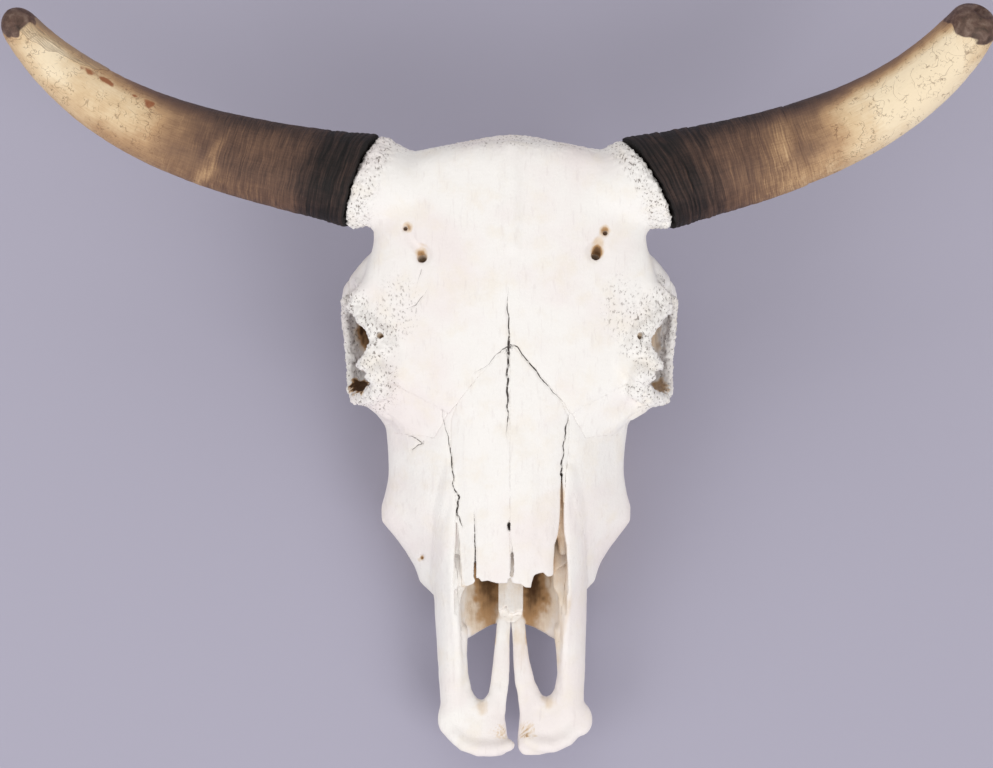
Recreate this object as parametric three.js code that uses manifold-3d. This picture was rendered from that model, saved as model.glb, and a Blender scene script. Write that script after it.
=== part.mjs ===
// A horned cattle skull without its lower jaw, life size, resting on its cheek teeth and on the two
// jugular processes beside the neck joint. Millimetres. X runs across the skull, +Y from the nose to
// the poll and +Z up. Every bone is first modelled in a frame that starts at the nose tip, on the
// floor, and the finished group is then centred over the middle of its own outline.
import * as THREE from "three";
import { mergeVertices } from "three/addons/utils/BufferGeometryUtils.js";
import Module from "manifold-3d";

const wasm = await Module();
wasm.setup();

// Driving sizes
const SKULL_LENGTH = 494; // nose tip to poll, along the floor
const NASAL_TIP = 131;
const NASAL_ROOT = 322; // where the two nasal bones end in a point between the frontals
const SEAM = 0.3; // gap left between neighbouring bones
const ORBIT = { x: 122.5, y: 334, z: 114, long: 49, tall: 37, rim: 7, lean: 10, flare: 7 };
const FORAMEN_MAGNUM = { z: 62, radius: 17, front: 405 };
const PALATE_FRONT = 106;

// Colours of the real surfaces
const BONE = new THREE.MeshStandardMaterial({ color: 0xece6dc, roughness: 0.75, metalness: 0 });
const HORN = new THREE.MeshStandardMaterial({ color: 0x6b5643, roughness: 0.5, metalness: 0 });

const SIDES = { left: -1, right: 1 };
const DEGREE = Math.PI / 180;
const vec = (x, y, z) => new THREE.Vector3(x, y, z);

// A smooth curve through [place, value] pairs, as a function of the place, level past both ends.
function through(...pairs) {
  const last = pairs.length - 1;
  const slope = (k) => {
    const before = pairs[Math.max(k - 1, 0)];
    const after = pairs[Math.min(k + 1, last)];
    return (after[1] - before[1]) / (after[0] - before[0]);
  };
  return (place) => {
    if (place <= pairs[0][0]) return pairs[0][1];
    if (place >= pairs[last][0]) return pairs[last][1];
    const k = pairs.findIndex((pair) => pair[0] > place) - 1;
    const [start, from] = pairs[k];
    const [end, to] = pairs[k + 1];
    const span = end - start;
    const u = (place - start) / span;
    const bend = u * u * (3 - 2 * u);
    return (
      from * (1 - bend) +
      to * bend +
      span * (slope(k) * u * (1 - u) * (1 - u) - slope(k + 1) * u * u * (1 - u))
    );
  };
}

const range = (from, to, steps) =>
  Array.from({ length: steps + 1 }, (_, k) => from + ((to - from) * k) / steps);

// A closed skin over rings of equal count. The ends are capped, or the last ring meets the first.
function skin(rings, joined = false) {
  const count = rings[0].length;
  const points = rings.flat();
  const faces = [];
  const spans = joined ? rings.length : rings.length - 1;
  for (let r = 0; r < spans; r++) {
    const next = (r + 1) % rings.length;
    for (let k = 0; k < count; k++) {
      const a = r * count + k;
      const b = r * count + ((k + 1) % count);
      const c = next * count + ((k + 1) % count);
      const d = next * count + k;
      faces.push(a, b, c, a, c, d);
    }
  }
  if (!joined) {
    const cap = (ring, start, forwards) => {
      const middle = points.length;
      points.push(ring.reduce((sum, p) => sum.add(p), vec(0, 0, 0)).divideScalar(count));
      for (let k = 0; k < count; k++) {
        const a = start + k;
        const b = start + ((k + 1) % count);
        faces.push(middle, forwards ? a : b, forwards ? b : a);
      }
    };
    cap(rings[0], 0, false);
    cap(rings[rings.length - 1], (rings.length - 1) * count, true);
  }
  const geometry = new THREE.BufferGeometry().setFromPoints(points);
  geometry.setIndex(faces);
  return geometry;
}

// A three.js geometry as a solid with its faces turned outwards.
function solid(geometry) {
  const bare = geometry.clone();
  bare.deleteAttribute("normal");
  bare.deleteAttribute("uv");
  const merged = mergeVertices(bare, 1e-4);
  const place = merged.attributes.position;
  const corners = new Uint32Array(merged.index.array);
  const corner = (k) => vec().fromBufferAttribute(place, corners[k]);
  let volume = 0;
  for (let k = 0; k < corners.length; k += 3)
    volume += corner(k).dot(corner(k + 1).cross(corner(k + 2)));
  if (volume < 0)
    for (let k = 0; k < corners.length; k += 3)
      [corners[k + 1], corners[k + 2]] = [corners[k + 2], corners[k + 1]];
  return new wasm.Manifold(
    new wasm.Mesh({ numProp: 3, vertProperties: place.array, triVerts: corners }),
  );
}

const joined = (solids) => solids.reduce((sum, piece) => sum.add(piece));
const largest = (piece) =>
  piece.decompose().reduce((best, part) => (part.volume() > best.volume() ? part : best));
const bothSides = (make) => joined(Object.values(SIDES).map(make));

// An outline across the skull at y: an oval whose sides are squarer as power grows and whose top
// bends down by droop at its edges.
const squared = (value, power) => Math.sign(value) * Math.abs(value) ** (2 / power);
function slice({ y, x = 0, z, half, up, down = up, power = 2.4, droop = 0, count = 32 }) {
  return Array.from({ length: count }, (_, k) => {
    const turn = (k / count) * 2 * Math.PI;
    const across = squared(Math.cos(turn), power);
    const rise = squared(Math.sin(turn), power);
    return vec(x + half * across, y, z + rise * (rise > 0 ? up : down) - droop * across * across);
  });
}

// A rod of oval section along a smooth path. The width and height are functions of 0 to 1 along it.
function rod(path, width, height = width, steps = 10, count = 12) {
  const curve = new THREE.CatmullRomCurve3(path);
  const frames = curve.computeFrenetFrames(steps, false);
  return solid(
    skin(
      range(0, 1, steps).map((t, s) => {
        const middle = curve.getPointAt(t);
        const side = vec().crossVectors(frames.tangents[s], vec(0, 0, 1)).normalize();
        const top = vec().crossVectors(side, frames.tangents[s]).normalize();
        return Array.from({ length: count }, (_, k) => {
          const turn = (k / count) * 2 * Math.PI;
          return middle
            .clone()
            .addScaledVector(side, Math.cos(turn) * width(t))
            .addScaledVector(top, Math.sin(turn) * height(t));
        });
      }),
    ),
  );
}

function ball(x, y, z, across, along, tall, detail = 16) {
  const shape = new THREE.SphereGeometry(1, detail, detail * 0.6);
  return solid(shape.scale(across, along, tall).translate(x, y, z));
}

function block(low, high) {
  const size = high.clone().sub(low);
  const middle = high.clone().add(low).multiplyScalar(0.5);
  const shape = new THREE.BoxGeometry(size.x, size.y, size.z);
  return solid(shape.translate(middle.x, middle.y, middle.z));
}

// Profiles along the skull, by distance from the nose tip
const topHeight = through(
  [90, 84], [131, 99], [180, 117], [240, 137], [300, 155], [340, 167],
  [390, 183], [430, 194], [460, 200], [476, 200], [487, 193], [494, 180],
);
const nasalHalf = through([100, 37], [131, 39], [177, 42], [224, 46], [250, 49], [276, 46]);
const cheekHalf = through(
  [92, 53], [118, 56], [130, 61], [137, 72], [151, 77], [160, 82], [176, 93], [187, 103], [196, 107],
  [208, 104], [224, 99.5], [248, 99.5], [264, 101.5], [280, 109], [290, 119], [302, 122],
);
const cheekHeight = through(
  [92, 50], [136, 42], [176, 50], [196, 58], [224, 70], [264, 84], [302, 88],
);
const alveolarHalf = through(
  [92, 50], [118, 54], [136, 66], [151, 71], [196, 80], [250, 82], [302, 76],
);
const alveolarHeight = through([92, 36], [130, 32], [151, 24], [270, 24], [290, 30], [302, 46]);
// How far the cheek bulges between the nasal bones and its widest line, most of all at the orbit
const cheekFullness = through([200, 0.52], [250, 0.56], [285, 0.74], [302, 0.78]);
const palateHeight = through([92, 42], [150, 42], [250, 38], [302, 44]);

// The left cheek stands a little further out than the right, as in life
const cheekSide = (side) => (side < 0 ? 1.035 : 0.975);

// The upper jaw from the gap in front of the teeth to the front of the eye sockets
function faceBlock() {
  const ring = (y) => {
    const top = topHeight(y);
    const edge = nasalHalf(y);
    const height = cheekHeight(y);
    const alveolus = alveolarHalf(y);
    const gum = alveolarHeight(y);
    const fullness = cheekFullness(y);
    const half = (side) => {
      const cheek = cheekHalf(y) * cheekSide(side);
      return [
        [edge * 0.55, top - 2.5],
        [edge, top - 10],
        [edge + (cheek - edge) * fullness, height + (top - 10 - height) * (fullness + 0.06)],
        [cheek - 2, height + 5],
        [cheek, height - 3],
        [Math.max(alveolus, cheek - 16), Math.min(gum + 17, height - 9)],
        [alveolus, gum + 3],
        [alveolus - 4, gum],
        [alveolus - 21, gum],
        [alveolus - 26, gum + 4],
        [alveolus * 0.5, palateHeight(y) - 2],
      ].map(([x, z]) => vec(side * x, y, z));
    };
    const landmarks = [vec(0, y, top), ...half(1), vec(0, y, palateHeight(y)), ...half(-1).reverse()];
    return new THREE.CatmullRomCurve3(landmarks, true).getPoints(32).slice(0, -1);
  };
  return solid(skin(range(92, 302, 17).map(ring)));
}

// The nasal cavity, open at the front, its ceiling following the nasal bones
function nasalCavity() {
  const half = through([80, 41], [131, 36], [180, 37], [230, 36], [262, 22]);
  const floor = through([80, 49], [150, 51], [220, 62], [262, 84]);
  return solid(
    skin(
      range(80, 262, 9).map((y) => {
        const ceiling = topHeight(y) - 5;
        const middle = (ceiling + floor(y)) / 2;
        const reach = (ceiling - floor(y)) / 2;
        return slice({ y, z: middle, half: half(y), up: reach, power: 2.9, droop: 4, count: 16 });
      }),
    ),
  );
}

// The broad forehead from the nasal bones to the poll, with the edge over each eye socket
function foreheadSlab() {
  const half = through(
    [262, 56], [280, 92], [292, 110], [304, 117], [318, 119], [336, 116], [352, 118], [368, 122],
    [382, 121], [394, 116], [408, 112], [424, 112], [440, 113], [458, 108], [472, 99], [482, 76],
    [490, 44], [494, 18],
  );
  const depth = through(
    [262, 12], [300, 14], [336, 13], [380, 16], [440, 22], [470, 26], [488, 22], [494, 10],
  );
  return solid(
    skin(
      range(262, SKULL_LENGTH, 18).map((y) => {
        const thick = depth(y);
        const z = topHeight(y) - thick;
        return slice({ y, z, half: half(y), up: thick, down: thick, power: 3, droop: 12, count: 24 });
      }),
    ),
  );
}

// The brain case, narrow between the eye sockets and broad at the ears
function brainCase() {
  const half = through(
    [282, 50], [310, 40], [336, 36], [360, 44], [390, 58], [420, 66], [450, 74], [476, 80],
  );
  const floor = through([282, 56], [336, 60], [360, 54], [400, 44], [450, 38], [476, 58]);
  return solid(
    skin(
      range(282, 476, 7).map((y) => {
        const ceiling = topHeight(y) - 8;
        const z = (ceiling + floor(y)) / 2;
        return slice({ y, z, half: half(y), up: (ceiling - floor(y)) / 2, power: 2.4, count: 18 });
      }),
    ),
  );
}

// The plate that closes the skull behind, hollowed for the neck muscles on each side of a ridge
function nuchalPlate() {
  const half = through([446, 76], [458, 92], [470, 96], [479, 88]);
  const plate = solid(
    skin(
      range(446, 479, 3).map((y) =>
        slice({ y, z: 118, half: half(y), up: 72 - (y - 446) * 0.2, down: 48, power: 3, count: 22 }),
      ),
    ),
  );
  const hollows = bothSides((side) => ball(side * 44, 497, 126, 42, 25, 46, 11));
  return plate.subtract(hollows);
}

function neckJoint() {
  const condyles = bothSides((side) => ball(side * 31, 461, 52, 19, 22, 25, 9));
  const tubercles = bothSides((side) => ball(side * 13, 412, 46, 9, 13, 8, 7));
  const bullae = bothSides((side) => ball(side * 40, 425, 52, 12, 19, 17, 8));
  const jugular = bothSides((side) =>
    rod(
      [[66, 452, 82], [63, 454, 44], [58, 450, 12], [56, 447, -6]].map(([x, y, z]) =>
        vec(side * x, y, z),
      ),
      (t) => 8 - 2.5 * t,
      (t) => 15 - 6 * t,
      6,
      9,
    ),
  );
  const meatus = bothSides((side) =>
    rod(
      [vec(side * 60, 436, 80), vec(side * 76, 440, 84), vec(side * 89, 445, 90)],
      () => 8,
      () => 7,
      3,
      9,
    ),
  );
  return joined([condyles, tubercles, bullae, jugular, meatus]);
}

function braincaseOpenings() {
  const canal = new THREE.CylinderGeometry(FORAMEN_MAGNUM.radius, FORAMEN_MAGNUM.radius, 110, 16);
  const foramen = solid(canal.translate(0, FORAMEN_MAGNUM.front + 55, FORAMEN_MAGNUM.z));
  const earHoles = bothSides((side) =>
    rod([vec(side * 74, 440, 84), vec(side * 95, 447, 93)], () => 3.6, () => 3.6, 2, 8),
  );
  return foramen.add(earHoles);
}

// One rounded hoop of bone round each eye socket
const ORBIT_SQUARENESS = 3;
function orbitPoint(side, turn, out = 0) {
  const c = squared(Math.cos(turn), ORBIT_SQUARENESS);
  const s = squared(Math.sin(turn), ORBIT_SQUARENESS);
  const x = ORBIT.x - ORBIT.lean * s + ORBIT.flare * c;
  return vec(side * x, ORBIT.y + (ORBIT.long + out) * c, ORBIT.z + (ORBIT.tall + out) * s);
}

function orbitHoop(side) {
  const steps = 22;
  const count = 6;
  const rings = Array.from({ length: steps }, (_, s) => {
    const turn = (s / steps) * 2 * Math.PI;
    const middle = orbitPoint(side, turn);
    const outwards = orbitPoint(side, turn, 1).sub(middle).normalize();
    return Array.from({ length: count }, (_, k) => {
      const round = (k / count) * 2 * Math.PI;
      return middle
        .clone()
        .addScaledVector(outwards, Math.cos(round) * ORBIT.rim)
        .add(vec(side * Math.sin(round) * ORBIT.rim, 0, 0));
    });
  });
  return solid(skin(rings, true));
}

// The hollow that each eye sat in, a cone that narrows inwards and a little backwards
function orbitHollow(side) {
  const depths = [40, 6, -20, -48, -72];
  const shares = [0.86, 0.82, 0.76, 0.58, 0.2];
  const rings = depths.map((depth, k) =>
    Array.from({ length: 16 }, (_, n) => {
      const turn = (n / 16) * 2 * Math.PI;
      const rim = orbitPoint(side, turn);
      const inwards = Math.min(depth, 0);
      return vec(
        rim.x + side * depth,
        ORBIT.y + (rim.y - ORBIT.y) * shares[k] - inwards * 0.2,
        ORBIT.z + (rim.z - ORBIT.z) * shares[k] - inwards * 0.1,
      );
    }),
  );
  return solid(skin(rings));
}

// The bar behind each socket and the arch that runs back to the ear
function cheekArch(side) {
  const bar = rod(
    [[88, 403, 158], [105, 396, 148], [118, 388, 131], [128, 380, 110], [130, 371, 88]].map(
      ([x, y, z]) => vec(side * x, y, z),
    ),
    (t) => 12 - 3 * t,
    (t) => 11 - 2 * t,
    6,
    9,
  );
  const arch = rod(
    [
      [112, 284, 80], [127, 308, 76], [132, 342, 79], [127, 378, 86], [110, 412, 92], [78, 442, 98],
    ].map(([x, y, z]) => vec(side * x, y, z)),
    () => 6.5,
    (t) => 13 - 4 * Math.sin(t * Math.PI),
    10,
    9,
  );
  return joined([bar, arch, socketFloor(side), roofCorners(side)]);
}

// The front and rear corners of each socket's roof, which reach out as far as the lower rim
function roofCorners(side) {
  const rear = [[104, 372, 151], [120, 362, 148], [132, 354, 141]];
  const front = [[104, 300, 147], [115, 305, 145], [124, 312, 141]];
  return joined(
    [rear, front].map((path) =>
      rod(
        path.map(([x, y, z]) => vec(side * x, y, z)),
        (t) => 8 - 2.5 * t,
        (t) => 7 - 2 * t,
        2,
        7,
      ),
    ),
  );
}

// The shelf inside each socket's lower rim, which hides the floor from above
function socketFloor(side) {
  const path = [[98, 284, 88], [110, 306, 80], [114, 338, 78], [117, 370, 84]];
  return rod(
    path.map(([x, y, z]) => vec(side * x, y, z)),
    (t) => 20 - 9 * t,
    () => 3.5,
    4,
    8,
  );
}

// The slope that joins the face to the front of each socket's rim
function orbitShoulder(side) {
  const path = [vec(side * 62, 262, 104), vec(side * 88, 274, 108), vec(side * 112, 286, 107)];
  return rod(
    path,
    (t) => 15 - 4 * t,
    (t) => 16 - 4 * t,
    4,
    8,
  );
}

// The upright plates on each side of the rear way out of the nose
function pterygoid(side) {
  const outline = new THREE.Shape(
    [[276, 64], [276, 40], [310, 30], [344, 25], [362, 27], [366, 40], [384, 62]].map(
      (point) => new THREE.Vector2(...point),
    ),
  );
  const plate = new THREE.ExtrudeGeometry(outline, { depth: 5, bevelEnabled: false, steps: 1 });
  // The outline's own x and y become the skull's y and z, and its depth runs across the skull
  plate.applyMatrix4(new THREE.Matrix4().makeBasis(vec(0, 1, 0), vec(0, 0, 1), vec(1, 0, 0)));
  return solid(plate.translate(side * 26 - 2.5, 0, 0));
}

// Horns: the heading turns from sideways towards the poll's own direction and rises at the end.
// The plane they sweep in leans back by SWEEP_LEAN. The girth is [share of the length, radius].
// The slant is how many degrees the root's edge leans from square to the horn, inwards at the poll.
const SWEEP_LEAN = 10 * DEGREE;
const HORNS = {
  left: {
    root: [121, 458, 163],
    length: 332,
    heading: [10.5, 60.4],
    rise: [-7, 34],
    girth: [[0, 39.4], [0.13, 36], [0.38, 31.8], [0.57, 28], [0.72, 24], [0.87, 18.2], [1, 12.6]],
    slant: 9,
  },
  right: {
    root: [113, 456, 163],
    length: 318,
    heading: [12.6, 61],
    rise: [-7, 38],
    girth: [[0, 40.5], [0.13, 38.2], [0.4, 33.9], [0.6, 30], [0.8, 25.4], [0.92, 21.6], [1, 18]],
    slant: 17,
  },
};
const HORN_BEND = 2.2; // most of the turn comes in the outer half
const hornOf = (side) => (side < 0 ? HORNS.left : HORNS.right);

function hornWay(side, t) {
  const { heading, rise } = hornOf(side);
  const turn = (heading[0] + (heading[1] - heading[0]) * t ** HORN_BEND) * DEGREE;
  const lift = (rise[0] + (rise[1] - rise[0]) * t ** 1.6) * DEGREE;
  const along = vec(side * Math.cos(turn), Math.sin(turn), 0).multiplyScalar(Math.cos(lift));
  return along.setZ(Math.sin(lift)).applyAxisAngle(vec(1, 0, 0), SWEEP_LEAN);
}

function hornRoot(side, reach) {
  const [x, y, z] = hornOf(side).root;
  return vec(side * x, y, z).addScaledVector(hornWay(side, 0), reach);
}

// A ring round a horn. Its plane leans with the root's edge near the root and is square beyond.
const SLANT_SHARE = 0.24;
function hornRing(side, centre, way, radius, t) {
  const across = vec().crossVectors(way, vec(0, 0, 1)).normalize();
  const over = vec().crossVectors(across, way).normalize();
  const lean = Math.tan(hornOf(side).slant * DEGREE) * Math.max(0, 1 - t / SLANT_SHARE);
  const count = 16;
  return Array.from({ length: count }, (_, k) => {
    const turn = (k / count) * 2 * Math.PI;
    return centre
      .clone()
      .addScaledVector(across, Math.cos(turn) * radius)
      .addScaledVector(over, Math.sin(turn) * radius * 0.96)
      .addScaledVector(way, side * Math.cos(turn) * radius * lean);
  });
}

// The bony core under each horn, with the raised rim that the sheath stops against
function hornCore(side) {
  const radius = through([-50, 26], [-26, 33], [-12, 38], [-4, 41], [0, 38.5]);
  const way = hornWay(side, 0);
  return solid(
    skin(
      [-50, -38, -26, -16, -9, -4, 0].map((reach) =>
        hornRing(side, hornRoot(side, reach), way, radius(reach), 0),
      ),
    ),
  );
}

// A horn sheath: broad growth rings near the root, smooth beyond, with a blunt worn tip
function hornSheath(side) {
  const { length, girth } = hornOf(side);
  const ringCount = 6;
  const ringedShare = 0.33;
  const tipShare = side < 0 ? 0.955 : 0.968;
  const body = through(...girth);
  const places = [
    ...range(0, ringedShare, ringCount * 2).slice(0, -1),
    ...range(ringedShare, tipShare, 9),
    ...[0.45, 0.78, 0.96, 1].map((u) => tipShare + (1 - tipShare) * u),
  ];
  const centre = hornRoot(side, SEAM);
  const rings = places.map((t, n) => {
    if (n) {
      const before = places[n - 1];
      centre.addScaledVector(hornWay(side, (t + before) / 2), length * (t - before));
    }
    const beyond = Math.max(0, (t - tipShare) / (1 - tipShare));
    const swell = n < ringCount * 2 ? (n % 2 ? 0.7 : -0.4) : 0;
    const radius = (body(t) + swell) * Math.sqrt(1 - 0.9 * beyond ** 2);
    return hornRing(side, centre, hornWay(side, t), radius, t);
  });
  return solid(skin(rings));
}

// Premaxilla: a flat bar beside the nose opening, a spatula at the tip and a prong by the midline
const NOSE_DRIFT = 2.5; // the nose leans this far to the right
function premaxilla(side, grow = 0) {
  const shift = (y) => NOSE_DRIFT * Math.max(0, 1 - y / 170);
  const middleX = through([28, 50], [60, 51], [92, 52], [130, 54], [170, 53], [205, 50], [226, 47]);
  const middleZ = through(
    [28, 44], [60, 48], [92, 56], [130, 70], [170, 93.5], [205, 107.5], [226, 118],
  );
  const length = through([28, 12], [60, 14], [92, 19], [130, 22], [170, 12], [205, 8], [226, 2.5]);
  const thick = through([28, 7], [60, 7.5], [92, 7.5], [130, 7], [170, 5.5], [205, 4], [226, 2]);
  const tilt = through([28, 62], [60, 48], [92, 31], [130, 24], [170, 36], [226, 40]);
  const bar = solid(
    skin(
      range(28, 226, 12).map((y) => {
        const lean = tilt(y) * DEGREE;
        return Array.from({ length: 10 }, (_, k) => {
          const turn = (k / 10) * 2 * Math.PI;
          const a = Math.cos(turn) * (length(y) + grow);
          const b = Math.sin(turn) * (thick(y) + grow);
          const x = middleX(y) - a * Math.sin(lean) + b * Math.cos(lean);
          return vec(side * x + shift(y), y, middleZ(y) + a * Math.cos(lean) + b * Math.sin(lean));
        });
      }),
    ),
  );
  const inner = through([-4, 7], [0, 3.6], [8, 2.2], [25, 3.6], [36, 5], [48, 4]);
  const outer = through([-4, 24], [0, 37], [6, 47], [14, 55], [24, 60], [36, 60], [48, 57]);
  const thickness = through([-4, 3.5], [0, 6], [8, 7.5], [24, 8], [48, 6]);
  const body = solid(
    skin(
      range(-4, 46, 8).map((y) =>
        slice({
          y,
          x: (side * (inner(y) + outer(y))) / 2 + shift(y),
          z: 38 + y * 0.16,
          half: (outer(y) - inner(y)) / 2 + grow,
          up: thickness(y) + grow,
          power: 2.6,
          count: 14,
        }),
      ),
    ),
  );
  const notch = ball((side < 0 ? -27.5 : 29.5) + shift(50), 66, 46, 9.5, 26, 30, 12);
  const spread = side < 0 ? 0.85 : 1; // the left prong is a little the slimmer near the tip
  const prongX = through([30, 14 * spread], [50, 12.5 * spread], [70, 8.8], [106, 6.7], [124, 6.2]);
  const prongHalf = through([30, 10 * spread], [50, 10 * spread], [70, 7.6], [106, 5.8], [124, 5.2]);
  const prong = solid(
    skin(
      range(30, 122 + grow, 6).map((y) =>
        slice({
          y,
          x: side * prongX(y) + shift(y),
          z: 44 + (y - 30) * 0.14,
          half: prongHalf(y) + grow,
          up: 4 + grow,
          power: 2.6,
          count: 10,
        }),
      ),
    ),
  );
  return joined([bar, body.subtract(notch), prong]);
}

// The ploughshare bone, a low bar that lies over the prongs and runs back under the nasal bones
function vomer() {
  return solid(
    skin(
      range(112, 236, 6).map((y) => {
        const back = y - 112;
        return slice({ y, x: 0.8, z: 63 + back * 0.13, half: 10.2 - back * 0.04, up: 5.5, count: 12 });
      }),
    ),
  );
}

// Cheek teeth: three small premolars and three large molars in each row, with two cusps' worth of
// ribs on the cheek side. All of them are worn down to the floor.
const TEETH = [
  { name: "P2", length: 15, width: 13 },
  { name: "P3", length: 18, width: 17 },
  { name: "P4", length: 19, width: 20 },
  { name: "M1", length: 25, width: 23 },
  { name: "M2", length: 28, width: 24 },
  { name: "M3", length: 29, width: 22 },
];
const FIRST_TOOTH = 150;
const rowMiddle = through([150, 60], [200, 68], [250, 70], [285, 66]);

function toothRow(side) {
  let start = FIRST_TOOTH;
  const crowns = TEETH.map(({ length, width }, n) => {
    const middle = start + length / 2;
    start += length + 0.6;
    const lobes = n < 3 ? 1 : 2;
    const outline = new THREE.Shape(
      range(0, 2 * Math.PI, 10).slice(0, -1).map((turn) => {
        const rib = 1 + 0.09 * Math.cos(turn * 2 * lobes) * Math.sign(Math.cos(turn));
        return new THREE.Vector2(
          side * (rowMiddle(middle) + (squared(Math.cos(turn), 3.2) * width * rib) / 2),
          middle + (squared(Math.sin(turn), 4) * length) / 2,
        );
      }),
    );
    const crown = new THREE.ExtrudeGeometry(outline, { depth: 34, bevelEnabled: false });
    return solid(crown);
  });
  return joined(crowns);
}

// The skull's fused bones before they are parted along their seams
function wholeSkull() {
  const noseMouth = block(vec(-39, 60, 60), vec(39, NASAL_TIP, 140));
  const palateEdge = [[-36, 60], [-36, 93], [-12, PALATE_FRONT], [12, PALATE_FRONT], [36, 94], [36, 60]];
  const farFloor = planRegion(palateEdge, 20, 100);
  const face = faceBlock().subtract(joined([nasalCavity(), noseMouth, farFloor]));
  const rearNose = ball(0, 300, 50, 20, 34, 13, 12);
  const sockets = bothSides(orbitHollow);
  const jawBacks = bothSides((side) => ball(side * 88, 316, 60, 38, 22, 48, 12));
  const shoulders = bothSides(orbitShoulder);
  const framework = joined([foreheadSlab(), brainCase(), shoulders, face.subtract(jawBacks)])
    .subtract(sockets)
    .subtract(rearNose);
  const added = joined([
    framework,
    nuchalPlate(),
    neckJoint(),
    bothSides(orbitHoop),
    bothSides(cheekArch),
    bothSides(pterygoid),
    bothSides(hornCore),
    bothSides(toothRow),
  ]);
  const underFloor = block(vec(-300, -50, -60), vec(300, 600, 0));
  const canals = bothSides((side) =>
    rod([vec(side * 71, 394, 210), vec(side * 69, 386, 160)], () => 3.4, () => 3.4, 3, 8),
  );
  return added.subtract(joined([braincaseOpenings(), underFloor, canals]));
}

// Regions that hold one bone each. A grown region is what the other bones keep clear of.
function nasalRegion(side, grow = 0) {
  const outer = through(
    [100, 40], [131, 39.5], [177, 42], [224, 46], [250, 48], [276, 44], [NASAL_ROOT, 1],
  );
  return solid(
    skin(
      range(100, NASAL_ROOT - 0.5, 16).map((y) => {
        const inside = side * (SEAM / 2 - grow);
        const outside = side * (outer(y) + grow);
        const roof = topHeight(y) + 12;
        const floor = topHeight(y) - 17 - grow;
        return [
          vec(inside, y, roof),
          vec(outside, y, roof),
          vec(outside, y, floor),
          vec(inside, y, floor),
        ];
      }),
    ),
  );
}

// A region drawn on the skull as seen from above and carried down between two heights
function planRegion(points, low, high, grow = 0) {
  const corners = points.map((point) => new THREE.Vector2(...point));
  const middle = corners.reduce((sum, corner) => sum.add(corner), new THREE.Vector2());
  middle.divideScalar(corners.length);
  const outline = new THREE.Shape(
    corners.map((corner) => {
      const away = corner.clone().sub(middle);
      return away.setLength(away.length() + grow * 1.4).add(middle);
    }),
  );
  const depth = high - low + 2 * grow;
  const shape = new THREE.ExtrudeGeometry(outline, { depth, bevelEnabled: false });
  return solid(shape.translate(0, 0, low - grow));
}

const mirrored = (points) => [...points, ...points.map(([x, y]) => [-x, y]).reverse()];

function frontalRegion(grow = 0) {
  const plan = mirrored([[1, NASAL_ROOT], [50, 270], [106, 300], [160, 316], [170, 520]]);
  const upper = planRegion(plan, 122, 260, grow);
  const lean = new THREE.BoxGeometry(400, 400, 120).rotateX(16 * DEGREE);
  // Everything lower than a slope that follows the forehead stays with the bones beneath it
  const under = solid(lean.translate(0, 380, 93 - 0.9 * grow));
  const bars = bothSides((side) => {
    const [near, far] = [side * 88, side * 170].sort((a, b) => a - b);
    return block(vec(near - grow, 356, 116 - grow), vec(far + grow, 430, 200));
  });
  // The roof over each socket is the frontal bone's, down to half-way round the socket's rim
  const roofs = bothSides((side) => {
    const [near, far] = [side * 66, side * 170].sort((a, b) => a - b);
    return block(vec(near - grow, 280, 132 - grow), vec(far + grow, 358, 200));
  });
  return joined([upper.subtract(under), upper.intersect(roofs), bars]);
}

function occipitalRegion(grow = 0) {
  const plate = block(vec(-140, 461 - grow, -5), vec(140, 520, 150 + grow));
  const base = block(vec(-76 - grow, 434 - grow, -5), vec(76 + grow, 520, 60 + grow));
  return plate.add(base);
}

function zygomaticRegion(side, grow = 0) {
  const plan = [[96, 268], [88, 300], [88, 425], [170, 425], [170, 262]];
  return planRegion(plan.map(([x, y]) => [side * x, y]), 40, 112, grow);
}

function lacrimalRegion(side, grow = 0) {
  const plan = [[50, 272], [62, 252], [104, 262], [170, 268], [170, 324], [96, 324], [62, 310]];
  return planRegion(plan.map(([x, y]) => [side * x, y]), 96, 220, grow);
}

// Parting: each bone is cut out of the whole in turn, and what is left becomes the brain case
const bones = {};
const nose = { left: premaxilla(-1), right: premaxilla(1) };
const noseRoom = premaxilla(-1, SEAM).add(premaxilla(1, SEAM));
let rest = wholeSkull().subtract(noseRoom);

function part(name, region, cleared) {
  bones[name] = largest(rest.intersect(region));
  rest = rest.subtract(cleared);
}

for (const [name, side] of Object.entries(SIDES))
  part(`nasal_${name}`, nasalRegion(side), nasalRegion(side, SEAM));
part("frontal_bone", frontalRegion(), frontalRegion(SEAM));
part("occipital_bone", occipitalRegion(), occipitalRegion(SEAM));
for (const [name, side] of Object.entries(SIDES)) {
  part(`zygomatic_${name}`, zygomaticRegion(side), zygomaticRegion(side, SEAM));
  part(`lacrimal_${name}`, lacrimalRegion(side), lacrimalRegion(side, SEAM));
}
for (const [name, side] of Object.entries(SIDES)) {
  const jaw = (grow) => {
    const [near, far] = [side * (SEAM / 2 - grow), side * 200].sort((a, b) => a - b);
    return block(vec(near, 0, -5), vec(far, 292 + grow, 220));
  };
  part(`maxilla_${name}`, jaw(0), jaw(SEAM));
}
bones.braincase = largest(rest);

const ploughshare = vomer();
const clearOfVomer = vomer();
for (const [name, side] of Object.entries(SIDES)) {
  const other = nose[side < 0 ? "right" : "left"];
  bones[`premaxilla_${name}`] = largest(nose[name].subtract(clearOfVomer).subtract(other));
}
bones.vomer = largest(ploughshare);

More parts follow.
